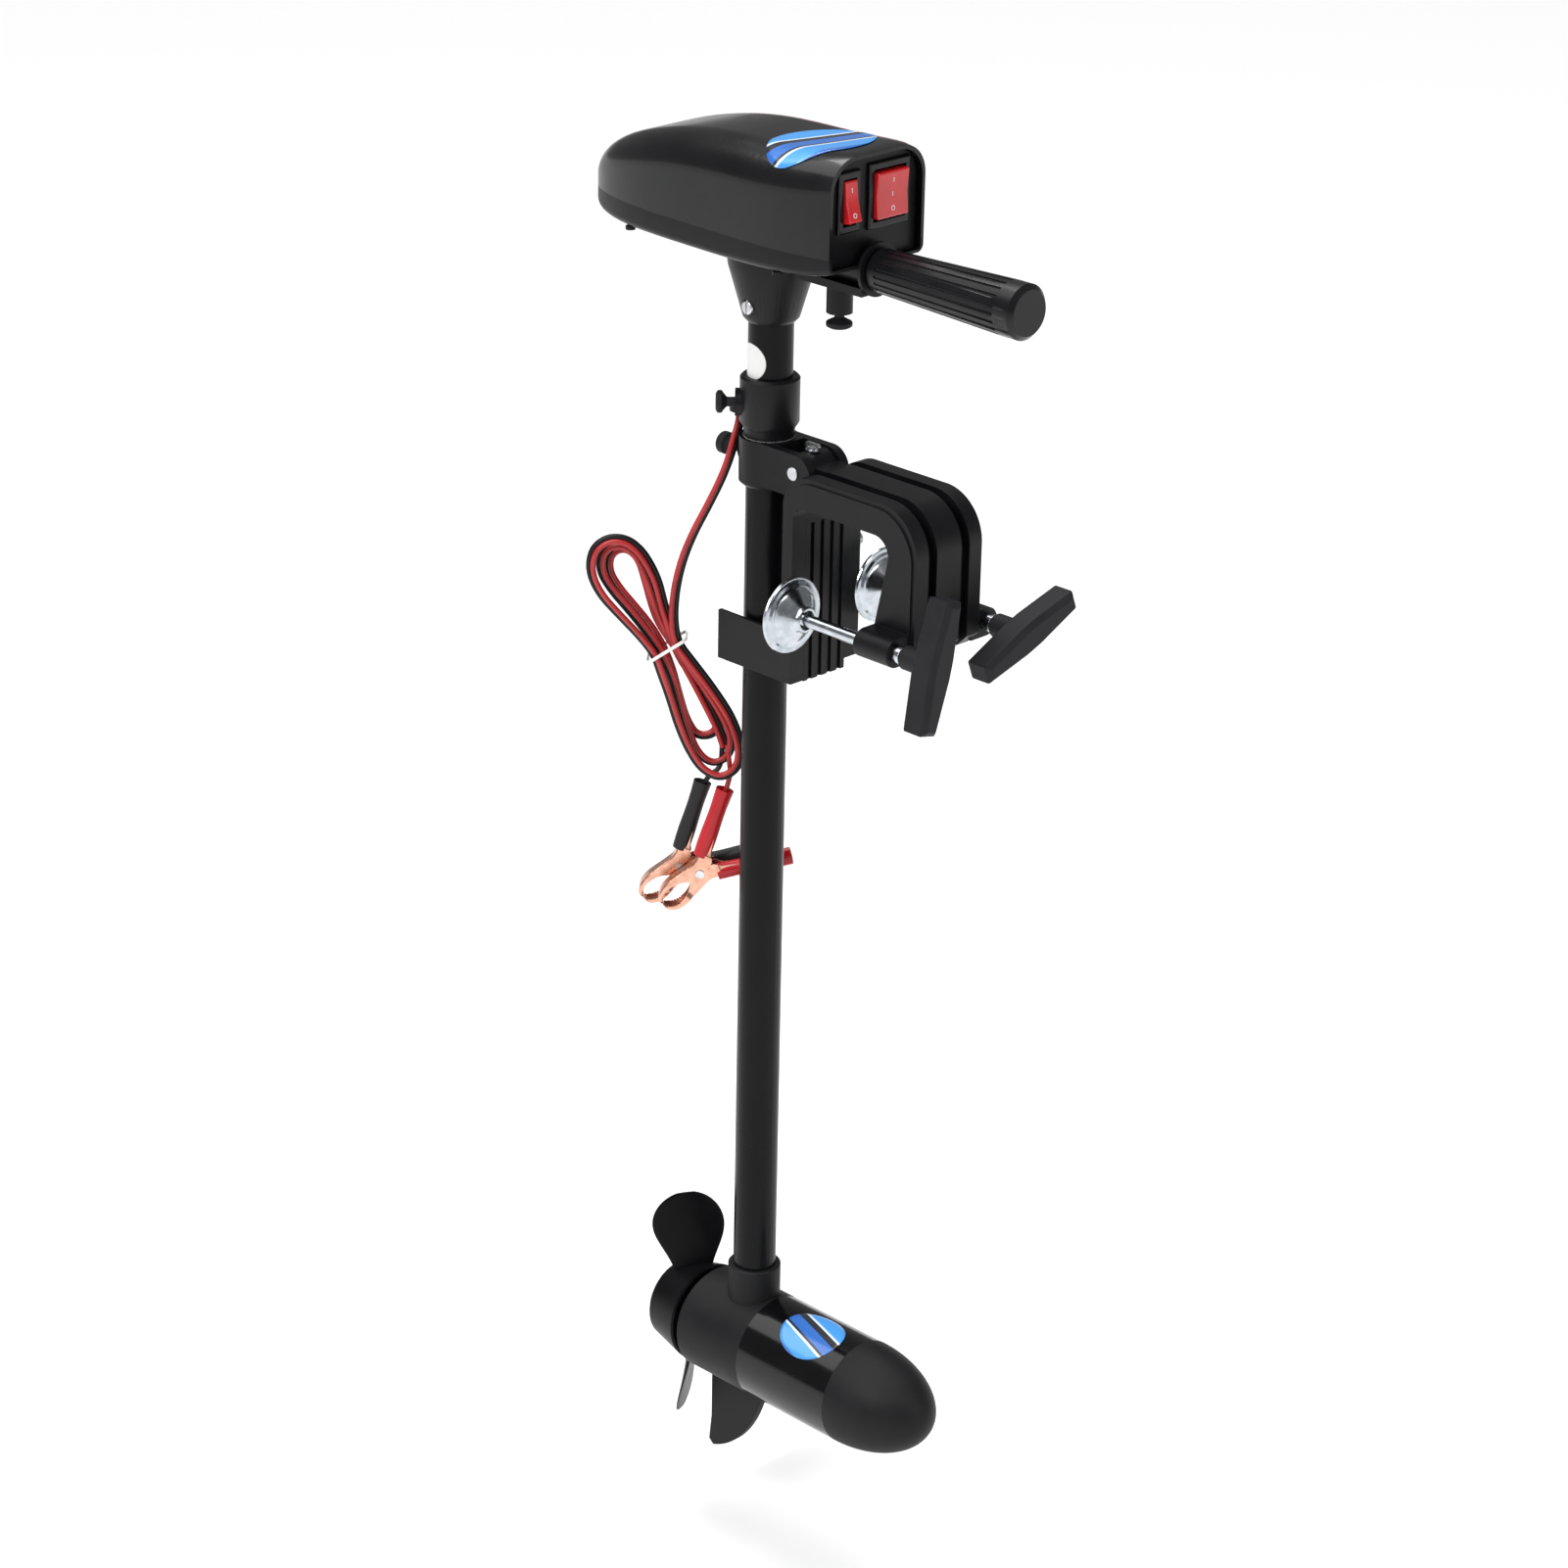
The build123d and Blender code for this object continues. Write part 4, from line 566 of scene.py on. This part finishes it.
# ------------------------------------------------------------------ labels
def draped(name, shape, direction, source, finish, body, slot, thick=0.25, lift=0.05):
    """Thin label laid on a surface: its points are moved along direction on to the source node."""
    surface = bmesh.new()
    surface.from_mesh(nodes[source].data)
    tree = BVHTree.FromBMesh(surface)
    surface.free()
    for v in shape.verts:
        hit, normal, _, _ = tree.ray_cast(v.co - direction * 0.08, direction)
        if hit is None:
            hit, normal, _, _ = tree.find_nearest(v.co)
        v.co = hit + normal * lift * MM
    bmesh.ops.recalc_face_normals(shape, faces=shape.faces)
    up = sum((f.normal for f in shape.faces), Vector())
    if up.dot(direction) > 0:
        bmesh.ops.reverse_faces(shape, faces=shape.faces)
    bmesh.ops.solidify(shape, geom=shape.faces, thickness=-thick * MM)
    for face in shape.faces:
        face.smooth = True
    return piece(name, shape, [finish], body, slot)


def oval(centre, first, second, rings=24, around=56):
    """Flat oval sheet with inner rings, spanned by the vectors first and second."""
    shape = bmesh.new()
    bmesh.ops.create_circle(shape, cap_ends=True, cap_tris=True, segments=around, radius=1.0)
    bmesh.ops.subdivide_edges(shape, edges=shape.edges, cuts=rings // 2, use_grid_fill=True)
    for v in shape.verts:
        v.co = centre + first * v.co.x + second * v.co.y
    return shape


def label_finish(name, centre, first, second, colours):
    """Printed oval: bands of colour across it, worked out from the place on the part."""
    finish, tree, shader, place = new_finish(name)
    turn = tree.nodes.new("ShaderNodeVectorMath")
    turn.operation = "SUBTRACT"
    turn.inputs[1].default_value = centre
    tree.links.new(place.outputs["Object"], turn.inputs[0])
    dot = tree.nodes.new("ShaderNodeVectorMath")
    dot.operation = "DOT_PRODUCT"
    dot.inputs[1].default_value = second.normalized() / second.length / 2
    tree.links.new(turn.outputs[0], dot.inputs[0])
    add = tree.nodes.new("ShaderNodeMath")
    add.operation = "ADD"
    add.inputs[1].default_value = 0.5
    tree.links.new(dot.outputs["Value"], add.inputs[0])
    ramp = tree.nodes.new("ShaderNodeValToRGB")
    ramp.color_ramp.interpolation = "CONSTANT"
    for i, (at, colour) in enumerate(colours):
        stop = ramp.color_ramp.elements[i] if i < 2 else ramp.color_ramp.elements.new(at)
        stop.position = at
        stop.color = (*colour, 1)
    tree.links.new(add.outputs[0], ramp.inputs["Fac"])
    tree.links.new(ramp.outputs["Color"], shader.inputs["Base Color"])
    fine = noise(tree, place, 0.0008)
    bumps(tree, shader, fine.outputs["Fac"], 0.00001, 0.4)
    shader.inputs["Roughness"].default_value = 0.3
    shader.inputs["Coat Weight"].default_value = 0.5
    return finish


BLUE, SKY, INK, PALE = (0.02, 0.13, 0.48), (0.05, 0.30, 0.75), (0.012, 0.014, 0.02), (0.62, 0.72, 0.84)
BANDS = [(0.0, SKY), (0.26, PALE), (0.30, INK), (0.40, BLUE), (0.58, INK), (0.62, PALE), (0.66, SKY), (0.90, BLUE)]
head_centre = Vector((-0.030, -0.007, 0.219))
long_way, short_way = Vector((0.008, 0.034, 0)), Vector((0.026, -0.008, 0))
head_label = label_finish("head label print", head_centre, long_way, short_way, BANDS)
draped("head_label", oval(head_centre, long_way, short_way), Vector((0, 0, -1)), "cowl_cover", head_label, "shaft", "black_gloss", 0.3, 0.35)


def strip(points, width, steps=64):
    """Flat ribbon of even width that follows a line of points."""
    shape = bmesh.new()
    bmesh.ops.create_grid(shape, x_segments=steps, y_segments=1, size=0.5)
    for v in shape.verts:
        t = (v.co.x + 0.5) * (len(points) - 1)
        spot, ahead = Vector(between(points, t)), Vector(between(points, min(t + 0.05, len(points) - 1)))
        behind = Vector(between(points, max(t - 0.05, 0)))
        beside = (ahead - behind).cross(UP).normalized()
        v.co = (spot + beside * v.co.y * width) * MM
    return shape


red_print = moulded("red pinstripe print", (0.42, 0.02, 0.012), (0.52, 0.035, 0.02), (0.25, 0.35), 0.8, 0.01)
white_print = moulded("white switch print", (0.80, 0.80, 0.80), (0.88, 0.88, 0.87), (0.35, 0.45), 0.8, 0.005)
sticker_print = moulded("plain white sticker", (0.66, 0.66, 0.66), (0.72, 0.72, 0.71), (0.30, 0.42), 1.0, 0.006)
draped("cowl_pinstripe", strip([(-205, 15, 225), (-198, 20.5, 225), (-181, 26, 225), (-160, 27.6, 225),
                                (-121, 29, 225), (-66, 29.6, 225), (-20, 28.6, 225), (6, 26.4, 225)], 1.5),
       Vector((0, 0, -1)), "cowl_cover", red_print, "shaft", "red_rocker", 0.1)


def wrapped(name, centre, radius, half_along, half_round, middle, axis, finish):
    """Round or oval sticker wrapped on a tube; middle is the angle where its centre sits."""
    shape = oval(Vector(), Vector((half_along, 0, 0)), Vector((0, half_round, 0)))
    for v in shape.verts:
        turn = middle + v.co.y / radius
        if axis == "Z":
            v.co = centre + Vector((radius * cos(turn), radius * sin(turn), v.co.x))
        else:
            v.co = centre + Vector((v.co.x, radius * cos(turn), radius * sin(turn)))
    bmesh.ops.recalc_face_normals(shape, faces=shape.faces)
    out = sum((f.normal.dot(f.calc_center_median() - centre) for f in shape.faces))
    if out < 0:
        bmesh.ops.reverse_faces(shape, faces=shape.faces)
    bmesh.ops.solidify(shape, geom=shape.faces, thickness=-0.12 * MM)
    for face in shape.faces:
        face.smooth = True
    return piece(name, shape, [finish], "shaft", "black_gloss")


wrapped("shaft_sticker", SHAFT + Vector((0, 0, 0.075)), 0.01405, 0.0116, 0.0116, radians(-103), "Z", sticker_print)
pod_centre = Vector((-0.011, 0, POD_Z))
pod_label = label_finish("pod label print", Vector((-0.011, -0.012, POD_Z + 0.033)), Vector((0.02, 0, 0)),
                         Vector((-0.006, -0.019, -0.007)), BANDS)
wrapped("pod_label", pod_centre, 0.03545, 0.0235, 0.0200, radians(108), "X", pod_label)


def switch_mark(name, node, y, z, ring):
    """Small printed stroke or ring on a rocker's face."""
    shape = bmesh.new()
    if ring:
        bmesh.ops.create_circle(shape, cap_ends=True, segments=24, radius=1.5 * MM)
        bmesh.ops.inset_individual(shape, faces=shape.faces[:], thickness=0.45 * MM)
        shape.faces.ensure_lookup_table()
        middle = [f for f in shape.faces if len(f.verts) > 4]
        bmesh.ops.delete(shape, geom=middle, context="FACES_ONLY")
    else:
        bmesh.ops.create_grid(shape, x_segments=2, y_segments=4, size=0.5)
        for v in shape.verts:
            v.co = Vector((v.co.x * 0.5, v.co.y * 2.8, 0)) * MM
    for v in shape.verts:
        v.co = Vector((0.04, y * MM + v.co.x, z * MM + v.co.y))
    draped(name, shape, Vector((-1, 0, 0)), node, white_print, node, "white_nylon", 0.05, 0.04)


def marks():
    for node in ("direction_rocker", "speed_rocker"):
        low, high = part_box(node)
        y, z0, z1 = (low[1] + high[1]) / 2 / MM, low[2] / MM, high[2] / MM
        switch_mark(node + "_mark_high", node, y, z1 - 5.5, False)
        switch_mark(node + "_mark_low", node, y, z0 + 5.5, True)
    switch_mark("speed_rocker_mark_middle", "speed_rocker", y, (z0 + z1) / 2, False)


marks()

# ------------------------------------------------------------------ floor and light
def place_floor():
    shape = bmesh.new()
    bmesh.ops.create_grid(shape, x_segments=1, y_segments=1, size=45)
    for v in shape.verts:
        v.co.z = -0.745
    mesh = bpy.data.meshes.new("floor")
    shape.to_mesh(mesh)
    shape.free()
    paint, tree, shader, place = new_finish("pale floor")
    shader.inputs["Base Color"].default_value = (0.92, 0.92, 0.92, 1)
    shader.inputs["Roughness"].default_value = 0.9
    mesh.materials.append(paint)
    floor = bpy.data.objects.new("floor", mesh)
    bpy.context.scene.collection.objects.link(floor)


def soft_light(name, place, target, size, power):
    lamp = bpy.data.lights.new(name, "AREA")
    lamp.shape = "RECTANGLE"
    lamp.size, lamp.size_y = size
    lamp.energy = power
    holder = bpy.data.objects.new(name, lamp)
    bpy.context.scene.collection.objects.link(holder)
    holder.location = place
    holder.rotation_euler = (Vector(target) - Vector(place)).to_track_quat("-Z", "Y").to_euler()


place_floor()
world = bpy.data.worlds.new("studio")
world.use_nodes = True
world.node_tree.nodes["Background"].inputs["Color"].default_value = (1, 1, 1, 1)
world.node_tree.nodes["Background"].inputs["Strength"].default_value = 0.22
bpy.context.scene.world = world
sun = bpy.data.lights.new("overhead softness", "SUN")
sun.energy = 2.7
sun.angle = radians(70)
overhead = bpy.data.objects.new("overhead softness", sun)
bpy.context.scene.collection.objects.link(overhead)
overhead.rotation_euler = (radians(14), radians(-10), 0)
soft_light("key light", (0.1, -2.4, 1.5), (-0.05, 0, 0), (0.5, 1.3), 40)
soft_light("fill light", (2.4, 0.4, 0.7), (-0.05, 0, -0.2), (0.5, 1.6), 16)
soft_light("top light", (-0.9, 0.6, 2.2), (-0.05, 0, 0.1), (1.4, 0.8), 24)
bpy.context.scene.view_settings.view_transform = "Standard"
